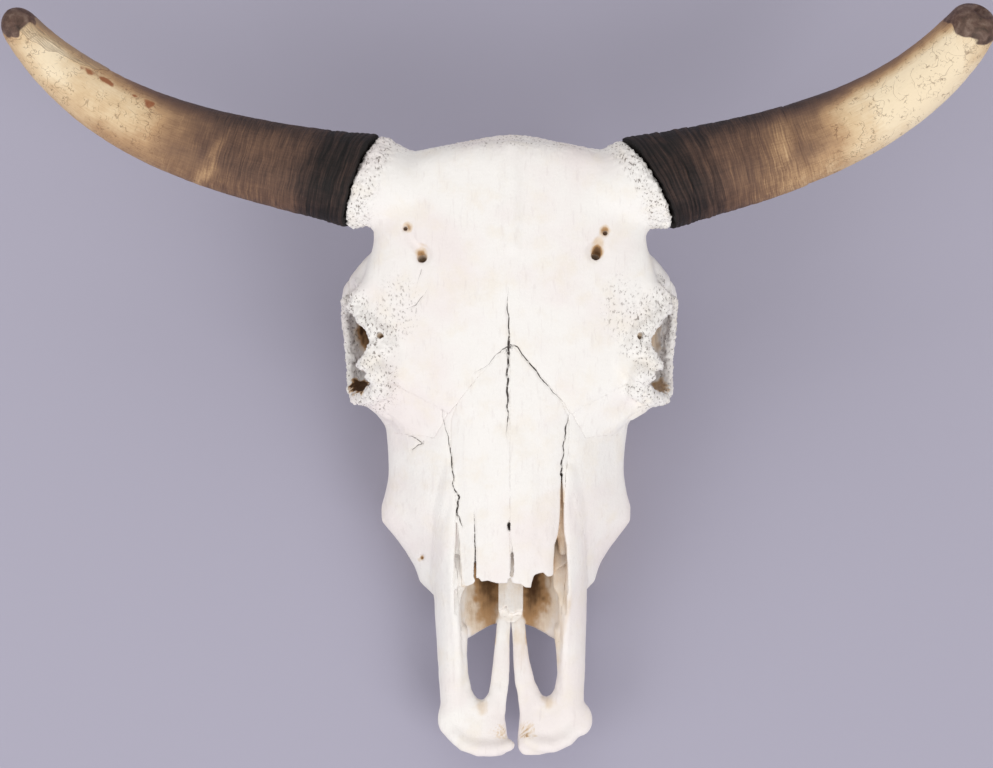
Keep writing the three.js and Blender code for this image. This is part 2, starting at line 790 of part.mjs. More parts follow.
const skull = new THREE.Group();
function show(name, piece, material) {
  const { numProp, vertProperties, triVerts } = piece.getMesh();
  const place = new Float32Array((vertProperties.length / numProp) * 3);
  for (let k = 0; k < place.length / 3; k++)
    place.set(vertProperties.subarray(k * numProp, k * numProp + 3), k * 3);
  const geometry = new THREE.BufferGeometry();
  geometry.setAttribute("position", new THREE.BufferAttribute(place, 3));
  geometry.setIndex(new THREE.BufferAttribute(triVerts, 1));
  geometry.computeVertexNormals();
  const mesh = new THREE.Mesh(geometry, material);
  mesh.name = name;
  skull.add(mesh);
}

for (const [name, piece] of Object.entries(bones)) show(name, piece, BONE);
for (const [name, side] of Object.entries(SIDES)) show(`horn_${name}`, hornSheath(side), HORN);

const outline = new THREE.Box3().setFromObject(skull);
const middle = outline.getCenter(new THREE.Vector3());
skull.position.set(-middle.x, -middle.y, -outline.min.z);

export default skull;
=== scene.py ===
"""The looks of a horned cattle skull that lies on its cheek teeth.

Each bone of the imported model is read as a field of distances. The field is rounded, given the
small forms that the plain solids leave out, and drawn again as a fine closed mesh that stands for
its bone.
Teeth and horn sheaths are built from their own sizes. Sizes are in millimetres in the skull's own
space: across from the midline, along from the nose tip, and up from the surface it lies on.
"""

import logging
import math
from dataclasses import dataclass, field, replace

import bpy
import numpy as np
import openvdb
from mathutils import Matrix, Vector


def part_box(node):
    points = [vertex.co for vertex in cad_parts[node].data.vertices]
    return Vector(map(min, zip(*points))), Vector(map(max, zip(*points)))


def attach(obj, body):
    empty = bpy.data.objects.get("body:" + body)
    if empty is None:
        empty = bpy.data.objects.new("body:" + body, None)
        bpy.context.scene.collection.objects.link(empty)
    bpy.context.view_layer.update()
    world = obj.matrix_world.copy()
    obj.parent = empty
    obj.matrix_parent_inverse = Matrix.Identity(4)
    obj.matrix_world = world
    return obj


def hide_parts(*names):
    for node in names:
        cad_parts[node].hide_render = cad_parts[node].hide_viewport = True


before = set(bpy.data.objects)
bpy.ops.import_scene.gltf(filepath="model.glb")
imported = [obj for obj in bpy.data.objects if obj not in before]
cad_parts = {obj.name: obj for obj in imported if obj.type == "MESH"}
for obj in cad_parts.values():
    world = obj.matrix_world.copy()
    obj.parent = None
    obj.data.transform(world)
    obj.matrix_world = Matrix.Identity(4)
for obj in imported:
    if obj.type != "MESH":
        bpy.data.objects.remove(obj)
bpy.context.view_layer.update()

MM = 0.001
NOSE_OVERHANG = 4.0  # how far the premaxillae reach past the skull's own zero
FIELD_BOX = ((-164.0, -16.0, -8.0), (166.0, 508.0, 214.0))  # holds every bone
FINE_STEP, COARSE_STEP = 1.2, 2.4
SIDES = {"left": -1, "right": 1}
Array = np.ndarray
Point = tuple[float, float, float]
Line = tuple[tuple[float, float], ...]
Socket = bpy.types.NodeSocket
log = logging.getLogger("skull")


def linear(sheet: str) -> tuple[float, float, float, float]:
    """Turns an sRGB hex value such as "#ECE6DC" into a linear colour.

    Args:
        sheet: The colour as six hex digits after a hash sign.

    Returns:
        Red, green, blue and an alpha of one.
    """
    channels = [int(sheet[k : k + 2], 16) / 255 for k in (1, 3, 5)]
    parts = [c / 12.92 if c <= 0.04045 else ((c + 0.055) / 1.055) ** 2.4 for c in channels]
    return (*parts, 1.0)


@dataclass(frozen=True)
class SkullSpace:
    """The skull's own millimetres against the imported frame's metres."""

    middle: float
    nose: float

    @classmethod
    def of_frame(cls) -> "SkullSpace":
        """Finds the midline between the nasal bones and the zero near the nose tip."""
        middle = (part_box("nasal_left")[1].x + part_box("nasal_right")[0].x) / 2
        tip = min(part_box(f"premaxilla_{side}")[0].y for side in SIDES)
        return cls(middle=middle, nose=tip + NOSE_OVERHANG * MM)

    def to_row(self, points: Array) -> Array:
        """Gives the places in metres of points in the skull's millimetres."""
        return np.asarray(points, float) * MM + np.array([self.middle, self.nose, 0.0])

    def to_skull(self, points: Array) -> Array:
        """Gives the skull's millimetres of places in metres."""
        return (np.asarray(points, float) - np.array([self.middle, self.nose, 0.0])) / MM


def fade(value: Array, start: float, end: float) -> Array:
    """Rises smoothly from 0 at start to 1 at end, or falls where end is the smaller."""
    share = np.clip((value - start) / (end - start), 0.0, 1.0)
    return share * share * (3 - 2 * share)


def through(places: Array, pairs: Line) -> Array:
    """Gives the value at each place on a smooth curve through pairs of place and value.

    Args:
        places: Where the curve is read.
        pairs: Places in rising order, each with its value. The curve is level past both ends.

    Returns:
        The values, shaped as places.
    """
    at = np.array([pair[0] for pair in pairs], float)
    value = np.array([pair[1] for pair in pairs], float)
    slope = np.gradient(value, at)
    slope[0] = (value[1] - value[0]) / (at[1] - at[0])
    slope[-1] = (value[-1] - value[-2]) / (at[-1] - at[-2])
    where = np.clip(np.asarray(places, float), at[0], at[-1])
    k = np.clip(np.searchsorted(at, where, side="right") - 1, 0, len(at) - 2)
    span = at[k + 1] - at[k]
    u = (where - at[k]) / span
    bend = u * u * (3 - 2 * u)
    pull = span * (slope[k] * u * (1 - u) ** 2 - slope[k + 1] * u * u * (1 - u))
    return value[k] * (1 - bend) + value[k + 1] * bend + pull


def scatter(cells: Array, seed: int) -> Array:
    """Gives each whole-number cell its own number between 0 and 1, the same on every run.

    Args:
        cells: Whole numbers, three in the last axis.
        seed: Another seed gives another set.

    Returns:
        One number for each cell.
    """
    mixed = cells[..., 0] * 73856093 ^ cells[..., 1] * 19349663 ^ cells[..., 2] * 83492791
    mixed = (mixed ^ (seed * 2654435761)).astype(np.uint64) & np.uint64(0xFFFFFFFF)
    mixed = (mixed ^ (mixed >> np.uint64(15))) * np.uint64(0x2C1B3C6D) & np.uint64(0xFFFFFFFF)
    mixed = (mixed ^ (mixed >> np.uint64(12))) * np.uint64(0x297A2D39) & np.uint64(0xFFFFFFFF)
    return ((mixed ^ (mixed >> np.uint64(15))) / 4294967295.0).astype(np.float32)


def swell(points: Array, size: float, seed: int, octaves: int = 1) -> Array:
    """Smooth unevenness in space.

    Args:
        points: Places in millimetres.
        size: The width of one hump of the broadest layer.
        seed: Another seed gives other humps.
        octaves: How many layers, each half as wide and half as high as the last.

    Returns:
        Values of about -1 to 1.
    """
    total = np.zeros(len(points), np.float32)
    height, reach = 1.0, 0.0
    for layer in range(octaves):
        scaled = points / (size / 2**layer)
        cell = np.floor(scaled).astype(np.int64)
        u = (scaled - cell).astype(np.float32)
        u = u * u * u * (u * (u * 6 - 15) + 10)
        value = np.zeros(len(points), np.float32)
        for corner in np.ndindex(2, 2, 2):
            share = np.prod(np.where(np.array(corner), u, 1 - u), axis=1)
            value += share * scatter(cell + np.array(corner), seed + layer)
        total += height * (value * 2 - 1)
        reach += height
        height /= 2
    return total / reach * 1.6


def beads(points: Array, size: float, seed: int) -> Array:
    """The distance to the nearest of a set of scattered seeds, in bead sizes: 0 at a seed.

    Args:
        points: Places in millimetres.
        size: The usual space between two seeds.
        seed: Another seed gives another set.

    Returns:
        Distances, mostly between 0 and 1.
    """
    scaled = points / size
    cell = np.floor(scaled).astype(np.int64)
    nearest = np.full(len(points), 9.0, np.float32)
    for step in np.ndindex(3, 3, 3):
        home = cell + np.array(step) - 1
        place = home + np.stack([scatter(home, seed + k) for k in range(3)], axis=-1)
        gap = ((scaled - place) ** 2).sum(axis=1).astype(np.float32)
        np.minimum(nearest, gap, out=nearest)
    return np.sqrt(nearest)


class Form:
    """A small closed shape that is joined to a bone or cut out of it."""

    def distance(self, x: Array, y: Array, z: Array) -> Array:
        """Gives the signed distance to the surface at a grid of places."""
        raise NotImplementedError

    def reach(self) -> tuple[Array, Array]:
        """Gives the lowest and highest corner of the shape."""
        raise NotImplementedError


def sided(side: int, points: tuple[Point, ...]) -> tuple[Point, ...]:
    """Gives points of the right side for the side given."""
    return tuple((side * x, y, z) for x, y, z in points)


def off_line(place: tuple[Array, ...], points: tuple, radii: tuple[float, ...]) -> Array:
    """Gives the distance to a line through points, less the line's own thickness.

    Args:
        place: The coordinates to measure from, two in plan or three in space.
        points: The line's points, with as many coordinates.
        radii: Half the line's thickness at each point.

    Returns:
        Distances, negative inside the thickness.
    """
    best = None
    for a, b, start, end in zip(points, points[1:], radii, radii[1:]):
        gaps = [v - p for v, p in zip(place, a)]
        way = [q - p for p, q in zip(a, b)]
        length = max(sum(w * w for w in way), 1e-9)
        share = np.clip(sum(g * w for g, w in zip(gaps, way)) / length, 0.0, 1.0)
        gap = np.sqrt(sum((g - share * w) ** 2 for g, w in zip(gaps, way)))
        gap = gap - (start * (1 - share) + end * share)
        best = gap if best is None else np.minimum(best, gap)
    return best


@dataclass(frozen=True)
class Rod(Form):
    """A rounded rod through points, with a radius at each of them."""

    points: tuple[Point, ...]
    radii: tuple[float, ...]

    def distance(self, x: Array, y: Array, z: Array) -> Array:
        """Gives the distance to the nearest stretch of the rod."""
        return off_line((x, y, z), self.points, self.radii)

    def on_side(self, side: int) -> "Rod":
        """Gives the same rod for the side given."""
        return Rod(sided(side, self.points), self.radii)

    def reach(self) -> tuple[Array, Array]:
        """Gives the rod's box."""
        points, widest = np.array(self.points), max(self.radii)
        return points.min(axis=0) - widest, points.max(axis=0) + widest


@dataclass(frozen=True)
class Boss(Form):
    """A rounded lump or hollow with three half-sizes."""

    centre: Point
    radii: Point

    def distance(self, x: Array, y: Array, z: Array) -> Array:
        """Gives a close bound of the distance to the lump."""
        parts = [v - c for v, c in zip((x, y, z), self.centre)]
        near = np.sqrt(sum((p / r) ** 2 for p, r in zip(parts, self.radii)))
        steep = np.sqrt(sum((p / r**2) ** 2 for p, r in zip(parts, self.radii)))
        return near * (near - 1.0) / np.maximum(steep, 1e-6)

    def on_side(self, side: int) -> "Boss":
        """Gives the same lump for the side given."""
        return Boss(sided(side, (self.centre,))[0], self.radii)

    def reach(self) -> tuple[Array, Array]:
        """Gives the lump's box."""
        centre, radii = np.array(self.centre), np.array(self.radii)
        return centre - radii, centre + radii


@dataclass(frozen=True)
class Cleft(Form):
    """An upright cut along a line seen from above, between two heights."""

    line: Line
    halves: tuple[float, ...]
    low: float
    high: float

    def distance(self, x: Array, y: Array, z: Array) -> Array:
        """Gives the distance to the cut's walls and floor."""
        walls = off_line((x, y), self.line, self.halves)
        return np.maximum(walls, np.maximum(self.low - z, z - self.high))

    def reach(self) -> tuple[Array, Array]:
        """Gives the cut's box."""
        flat, widest = np.array(self.line), max(self.halves)
        low = np.append(flat.min(axis=0) - widest, self.low)
        return low, np.append(flat.max(axis=0) + widest, self.high)


@dataclass(frozen=True)
class BrokenEdge(Form):
    """All that lies in front of a broken line across the skull, above one height."""

    line: Line
    low: float
    high: float
    depth: float = 14.0

    def distance(self, x: Array, y: Array, z: Array) -> Array:
        """Gives a bound of the distance, which is kept low because the line is jagged."""
        across, along = np.array(self.line).T
        front = (y - np.interp(x, across, along)) * 0.6
        sides = np.maximum(across[0] - x, x - across[-1])
        return np.maximum(np.maximum(front, sides), np.maximum(self.low - z, z - self.high))

    def reach(self) -> tuple[Array, Array]:
        """Gives the box of what is cut away."""
        across, along = np.array(self.line).T
        low = np.array([across[0], along.min() - self.depth, self.low])
        return low, np.array([across[-1], along.max(), self.high])


@dataclass(frozen=True)
class Job:
    """A form to join or cut, and how wide the rounding is where it meets the bone."""

    form: Form
    width: float
    cut: bool = False


def slab(axis: int, at: int | slice) -> tuple:
    """Gives the index of a layer, or of a run of layers, across one axis of a field."""
    return (slice(None),) * axis + (at,)


def walled(values: Array) -> Array:
    """Holds the outermost layers of a field above zero, so that its surface is closed."""
    for axis in range(3):
        for end in (0, -1):
            side = values[slab(axis, end)]
            np.maximum(side, 1.0, out=side)
    return values


@dataclass
class DistanceGrid:
    """A box of evenly spaced samples. A field on it is negative inside the bone."""

    low: Array
    high: Array
    step: float
    shape: tuple[int, int, int] = field(init=False)

    def __post_init__(self) -> None:
        """Works out how many samples the box takes."""
        counts = np.ceil((self.high - self.low) / self.step).astype(int) + 1
        self.shape = (int(counts[0]), int(counts[1]), int(counts[2]))

    def window(self, low: Array, high: Array, margin: float) -> tuple[slice, slice, slice]:
        """Gives the part of the grid that holds a box with a margin round it."""
        first = np.floor((np.asarray(low) - margin - self.low) / self.step).astype(int)
        last = np.ceil((np.asarray(high) + margin - self.low) / self.step).astype(int) + 1
        first = np.clip(first, 0, np.array(self.shape) - 1)
        last = np.clip(last, 1, np.array(self.shape))
        return tuple(slice(int(a), int(b)) for a, b in zip(first, last))

    def places(self, window: tuple[slice, slice, slice]) -> tuple[Array, Array, Array]:
        """Gives the three coordinates of a window's samples, ready to combine."""
        axes = [
            (self.low[k] + self.step * np.arange(w.start, w.stop)).astype(np.float32)
            for k, w in enumerate(window)
        ]
        return axes[0][:, None, None], axes[1][None, :, None], axes[2][None, None, :]

    def of_mesh(self, points: Array, faces: Array, reach: float, margin: float) -> tuple:
        """Reads a closed mesh as distances in a window around it.

        Args:
            points: The mesh's corners in millimetres.
            faces: Its triangles.
            reach: How far from the surface the distances stay true.
            margin: How far the window reaches past the mesh.

        Returns:
            The window and the array of distances in it.
        """
        window = self.window(points.min(axis=0), points.max(axis=0), margin)
        start = np.array([w.start for w in window])
        local = (points - self.low) / self.step - start
        spacing = openvdb.createLinearTransform(voxelSize=1.0)
        volume = openvdb.FloatGrid.createLevelSetFromPolygons(
            local.astype(np.float32),
            triangles=faces.astype(np.uint32),
            transform=spacing,
            halfWidth=reach / self.step,
        )
        values = np.full([w.stop - w.start for w in window], reach / self.step, np.float32)
        volume.copyToArray(values, ijk=(0, 0, 0))
        return window, values * self.step

    def sample(self, values: Array, points: Array) -> Array:
        """Reads a field of the whole grid at any places, blending between samples."""
        scaled = (points - self.low) / self.step
        top = np.array(values.shape) - 2
        cell = np.clip(np.floor(scaled).astype(int), 0, top)
        u = np.clip(scaled - cell, 0.0, 1.0).astype(np.float32)
        total = np.zeros(len(points), np.float32)
        for corner in np.ndindex(2, 2, 2):
            share = np.prod(np.where(np.array(corner), u, 1 - u), axis=1)
            i, j, k = (cell + np.array(corner)).T
            total += share * values[i, j, k]
        return total

    def surface(self, values: Array, window: tuple[slice, slice, slice]) -> tuple[Array, Array]:
        """Draws a mesh of quads where a window's field is zero."""
        volume = openvdb.FloatGrid()
        volume.background = 10.0
        volume.copyFromArray(values.astype(np.float32), ijk=(0, 0, 0), tolerance=0.0)
        points, quads = volume.convertToQuads(isovalue=0.0)
        start = np.array([w.start for w in window])
        return (points + start) * self.step + self.low, quads


def softened(values: Array, passes: int) -> Array:
    """Blurs a field. Each pass spreads it by about 0.7 samples."""
    for _ in range(passes):
        for axis in range(3):
            ahead, behind = slab(axis, slice(1, None)), slab(axis, slice(None, -1))
            mixed = values * 0.5
            mixed[ahead] += 0.25 * values[behind]
            mixed[behind] += 0.25 * values[ahead]
            for end in (0, -1):
                mixed[slab(axis, end)] = values[slab(axis, end)]
            values = mixed
    return values


def stretched(values: Array, shape: tuple[int, int, int], ratio: float) -> Array:
    """Reads a coarse field at the finer samples of another, along one axis after the other."""
    for axis in range(3):
        place = np.arange(shape[axis]) / ratio
        cell = np.clip(np.floor(place).astype(int), 0, values.shape[axis] - 2)
        share = np.clip(place - cell, 0.0, 1.0).astype(np.float32)
        form = [1, 1, 1]
        form[axis] = -1
        share = share.reshape(form)
        values = np.take(values, cell, axis) * (1 - share) + np.take(values, cell + 1, axis) * share
    return values


def blended(first: Array, second: Array, width: float | Array) -> Array:
    """Joins two fields with a fillet of about the width given."""
    width = np.maximum(width, 1e-3)
    share = np.clip(0.5 + 0.5 * (second - first) / width, 0.0, 1.0)
    return second * (1 - share) + first * share - width * share * (1 - share)


@dataclass
class BoneField:
    """The distances to one bone, in its own window of the grid."""

    name: str
    window: tuple[slice, slice, slice]
    values: Array


def new_mesh(name: str, points: Array, faces: Array, smooth: bool = True) -> bpy.types.Object:
    """Makes a mesh object from arrays and links it to the scene.

    Args:
        name: The piece's name.
        points: Corners in metres.
        faces: Faces of four corners each. A triangle repeats its third corner.
        smooth: Whether the faces are shaded smooth.

    Returns:
        The new object.
    """
    corners = np.asarray(faces, np.int32)
    kept = np.ones(corners.shape, bool)
    kept[:, 3] = corners[:, 3] != corners[:, 2]
    counts = kept.sum(axis=1)
    mesh = bpy.data.meshes.new(name)
    mesh.vertices.add(len(points))
    mesh.vertices.foreach_set("co", np.asarray(points, np.float32).ravel())
    mesh.loops.add(int(counts.sum()))
    mesh.loops.foreach_set("vertex_index", corners[kept])
    mesh.polygons.add(len(corners))
    mesh.polygons.foreach_set("loop_start", (np.cumsum(counts) - counts).astype(np.int32))
    mesh.update(calc_edges=True)
    mesh.polygons.foreach_set("use_smooth", np.full(len(corners), smooth))
    piece = bpy.data.objects.new(name, mesh)
    bpy.context.scene.collection.objects.link(piece)
    return piece


def set_attribute(piece: bpy.types.Object, name: str, values: Array) -> None:
    """Stores one number for each corner of a piece, for its material to read."""
    attribute = piece.data.attributes.new(name, "FLOAT", "POINT")
    attribute.data.foreach_set("value", np.asarray(values, np.float32))


def corners_of(piece: bpy.types.Object) -> Array:
    """Gives the corners of a piece in metres."""
    found = np.zeros(len(piece.data.vertices) * 3, np.float32)
    piece.data.vertices.foreach_get("co", found)
    return found.reshape(-1, 3).astype(float)


# Horns: the sizes that the solids' horns have


@dataclass(frozen=True)
class HornPlan:
    """One horn: where it leaves the skull, how it turns, how thick it is and how it is marked.

    Along the horn, places are shares of its length: 0 at the root and 1 at the tip.
    """

    side: int
    root: Point
    length: float
    heading: tuple[float, float]  # degrees backwards at the root and at the tip
    rise: tuple[float, float]  # degrees upwards at the root and at the tip
    girth: Line  # the radius along the horn
    slant: float  # degrees that the root's edge leans inwards at the poll
    rounding: tuple[float, float]  # where the tip rounds off, and how much of it goes
    pit: float  # how deep the worn end is hollowed
    cap: float  # where the brown end begins
    grooves: Line  # each deep groove's place and depth
    crown: Line  # paleness along the upper side
    # Sides mostly darker than the upper side: partly own colour, partly painted shade
    behind: Line  # paleness along the side towards the poll
    before: Line  # paleness along the side towards the nose

    LEAN = math.radians(10)
    BEND = 2.2
    LIFT = 1.6

    def way(self, share: Array) -> Array:
        """Gives the horn's heading at shares of its length."""
        turn = np.radians(self.heading[0] + (self.heading[1] - self.heading[0]) * share**self.BEND)
        lift = np.radians(self.rise[0] + (self.rise[1] - self.rise[0]) * share**self.LIFT)
        across = self.side * np.cos(turn) * np.cos(lift)
        along = np.sin(turn) * np.cos(lift)
        up = np.sin(lift)
        cosine, sine = math.cos(self.LEAN), math.sin(self.LEAN)
        return np.stack([across, cosine * along - sine * up, sine * along + cosine * up], axis=-1)

    def line(self, shares: Array) -> Array:
        """Gives the places on the horn's middle line at rising shares of its length."""
        fine = np.linspace(0.0, 1.0, 801)
        middle = self.way((fine[1:] + fine[:-1]) / 2) * self.length / 800
        places = np.vstack([np.zeros(3), np.cumsum(middle, axis=0)]) + np.array(self.root)
        return np.stack([np.interp(shares, fine, places[:, k]) for k in range(3)], axis=-1)


HORN_PLANS = {
    "left": HornPlan(
        side=-1,
        root=(-121.0, 458.0, 163.0),
        length=332.0,
        heading=(10.5, 60.4),
        rise=(-7.0, 34.0),
        girth=(
            (0, 39.4), (0.13, 36), (0.38, 31.8), (0.57, 28), (0.72, 24), (0.87, 18.2), (1, 12.6),
        ),
        slant=9.0,
        rounding=(0.95, 0.97),
        pit=0.5,
        cap=0.945,
        grooves=((0.09, 0.8), (0.05, 0.8)),
        crown=(
            (0, 0.03), (0.05, 0.08), (0.1, 0.17), (0.14, 0.28), (0.28, 0.38), (0.38, 0.42),
            (0.47, 0.54), (0.57, 0.76), (0.72, 0.83), (0.84, 0.93), (0.93, 0.84), (1, 0.7),
        ),
        behind=(
            (0, 0.02), (0.1, 0.14), (0.3, 0.22), (0.45, 0.27), (0.55, 0.36), (0.68, 0.56),
            (0.9, 0.58), (1, 0.5),
        ),
        before=(
            (0, 0.03), (0.08, 0.16), (0.15, 0.32), (0.28, 0.44), (0.47, 0.56), (0.65, 0.7),
            (0.8, 0.8), (1, 0.7),
        ),
    ),
    "right": HornPlan(
        side=1,
        root=(113.0, 456.0, 163.0),
        length=318.0,
        heading=(12.6, 61.0),
        rise=(-7.0, 38.0),
        girth=(
            (0, 40.5), (0.13, 38.2), (0.4, 33.9), (0.6, 30), (0.8, 25.4), (0.92, 21.6), (1, 18),
        ),
        slant=17.0,
        rounding=(0.962, 0.72),
        pit=3.4,
        cap=0.93,
        grooves=((0.395, 0.8), (0.14, 0.7), (0.075, 0.9)),
        crown=(
            (0, 0.03), (0.05, 0.1), (0.1, 0.22), (0.16, 0.36), (0.3, 0.46), (0.36, 0.6),
            (0.44, 0.5), (0.52, 0.72), (0.6, 0.86), (0.68, 0.96), (0.88, 0.98), (1, 0.8),
        ),
        behind=(
            (0, 0.02), (0.15, 0.1), (0.35, 0.17), (0.5, 0.26), (0.62, 0.42), (0.75, 0.52),
            (0.9, 0.56), (1, 0.4),
        ),
        before=(
            (0, 0.04), (0.08, 0.14), (0.2, 0.4), (0.3, 0.58), (0.45, 0.72), (0.6, 0.86),
            (0.8, 0.96), (1, 0.7),
        ),
    ),
}  # fmt: skip


# Materials


class Node:
    """Where a material's nodes are put and joined."""

    def __init__(self, name: str) -> None:
        """Starts a new material of that name with its surface shader."""
        self.material = bpy.data.materials.new(name)
        self.material.use_nodes = True
        self.tree = self.material.node_tree
        self.shader = self.tree.nodes["Principled BSDF"]

    def add(self, kind: str, inputs: dict | None = None, **settings: object) -> bpy.types.Node:
        """Adds one node.

        Args:
            kind: The node's type name.
            inputs: Values or other nodes' sockets, by socket name or number.
            **settings: The node's own settings.

        Returns:
            The new node.
        """
        node = self.tree.nodes.new(kind)
        for name, value in settings.items():
            setattr(node, name, value)
        for name, value in (inputs or {}).items():
            if isinstance(value, bpy.types.NodeSocket):
                self.tree.links.new(value, node.inputs[name])
            else:
                node.inputs[name].default_value = value
        return node

    def link(self, source: Socket, name: str) -> None:
        """Joins a socket to one of the surface shader's inputs."""
        self.tree.links.new(source, self.shader.inputs[name])

    def fix(self, **values: object) -> None:
        """Sets inputs of the surface shader, named with underscores for spaces."""
        for name, value in values.items():
            self.shader.inputs[name.replace("_", " ")].default_value = value

    def place(self) -> Socket:
        """Gives the place on the object in metres."""
        return self.add("ShaderNodeTexCoord").outputs["Object"]

    def mark(self, name: str, output: str = "Fac") -> Socket:
        """Reads a number or a direction stored on the mesh."""
        return self.add("ShaderNodeAttribute", attribute_name=name).outputs[output]

    def sum_of(self, kind: str, first: object, second: object) -> Socket:
        """Puts two numbers through a sum of the kind given."""
        return self.add("ShaderNodeMath", {0: first, 1: second}, operation=kind).outputs[0]

    def plus(self, first: object, *others: object) -> Socket:
        """Adds numbers up, from left to right."""
        for other in others:
            first = self.sum_of("ADD", first, other)
        return first

    def times(self, first: object, second: object) -> Socket:
        """Multiplies two numbers."""
        return self.sum_of("MULTIPLY", first, second)

    def size(self, value: Socket) -> Socket:
        """Gives a number without its sign."""
        return self.sum_of("ABSOLUTE", value, 0.0)

    def about(self, value: Socket, amount: float) -> Socket:
        """Turns a pattern of 0 to 1 into one of that amount each way round zero."""
        return self.times(self.sum_of("SUBTRACT", value, 0.5), 2 * amount)

    def band(self, value: Socket, low: float, high: float, to: tuple = (0.0, 1.0)) -> Socket:
        """Spreads a value from low to high over the range given, smoothly."""
        ends = {"From Min": low, "From Max": high, "To Min": to[0], "To Max": to[1]}
        inputs = {"Value": value, **ends}
        made = self.add("ShaderNodeMapRange", inputs, interpolation_type="SMOOTHSTEP")
        return made.outputs["Result"]

    def mixed(self, share: object, first: object, second: object) -> Socket:
        """Mixes two colours by a share."""
        inputs = {0: share, 6: first, 7: second}
        return self.add("ShaderNodeMix", inputs, data_type="RGBA").outputs[2]

    def laid(self, colour: Socket, share: object, sheet: str) -> Socket:
        """Lays a colour given as an sRGB hex value over another by a share."""
        return self.mixed(share, colour, linear(sheet))

    def noise(self, place: Socket, scale: float, detail: float, rough: float = 0.55) -> Socket:
        """Cloudy noise. At a scale of S its humps are 1/S of the place's own unit wide."""
        inputs = {"Vector": place, "Scale": scale, "Detail": detail, "Roughness": rough}
        return self.add("ShaderNodeTexNoise", inputs).outputs["Fac"]

    def stretched(self, place: Socket, scale: tuple[float, float, float]) -> Socket:
        """Scales a place by its own factor along each axis."""
        inputs = {0: place, 1: scale}
        return self.add("ShaderNodeVectorMath", inputs, operation="MULTIPLY").outputs[0]

    def shaken(self, place: Socket, scale: float, amount: float) -> Socket:
        """Moves a place about by up to the amount, so that a pattern read there loses its order."""
        cloud = self.add("ShaderNodeTexNoise", {"Vector": place, "Scale": scale, "Detail": 3.0})
        inputs = {0: cloud.outputs["Color"], 1: (amount,) * 3, 2: place}
        return self.add("ShaderNodeVectorMath", inputs, operation="MULTIPLY_ADD").outputs[0]

    def ramp(self, value: Socket, steps: tuple[tuple[float, str], ...]) -> Socket:
        """Turns a number into a colour by steps of place and sRGB hex value."""
        node = self.add("ShaderNodeValToRGB", {"Fac": value})
        for k, (at, sheet) in enumerate(steps):
            stops = node.color_ramp.elements
            stop = stops[k] if k < 2 else stops.new(at)
            stop.position, stop.color = at, linear(sheet)
        return node.outputs["Color"]

    def relief(self, height: Socket, strength: float, distance: float) -> None:
        """Gives the surface a fine relief, as deep as the distance in metres."""
        inputs = {"Height": height, "Strength": strength, "Distance": distance}
        self.link(self.add("ShaderNodeBump", inputs).outputs["Normal"], "Normal")


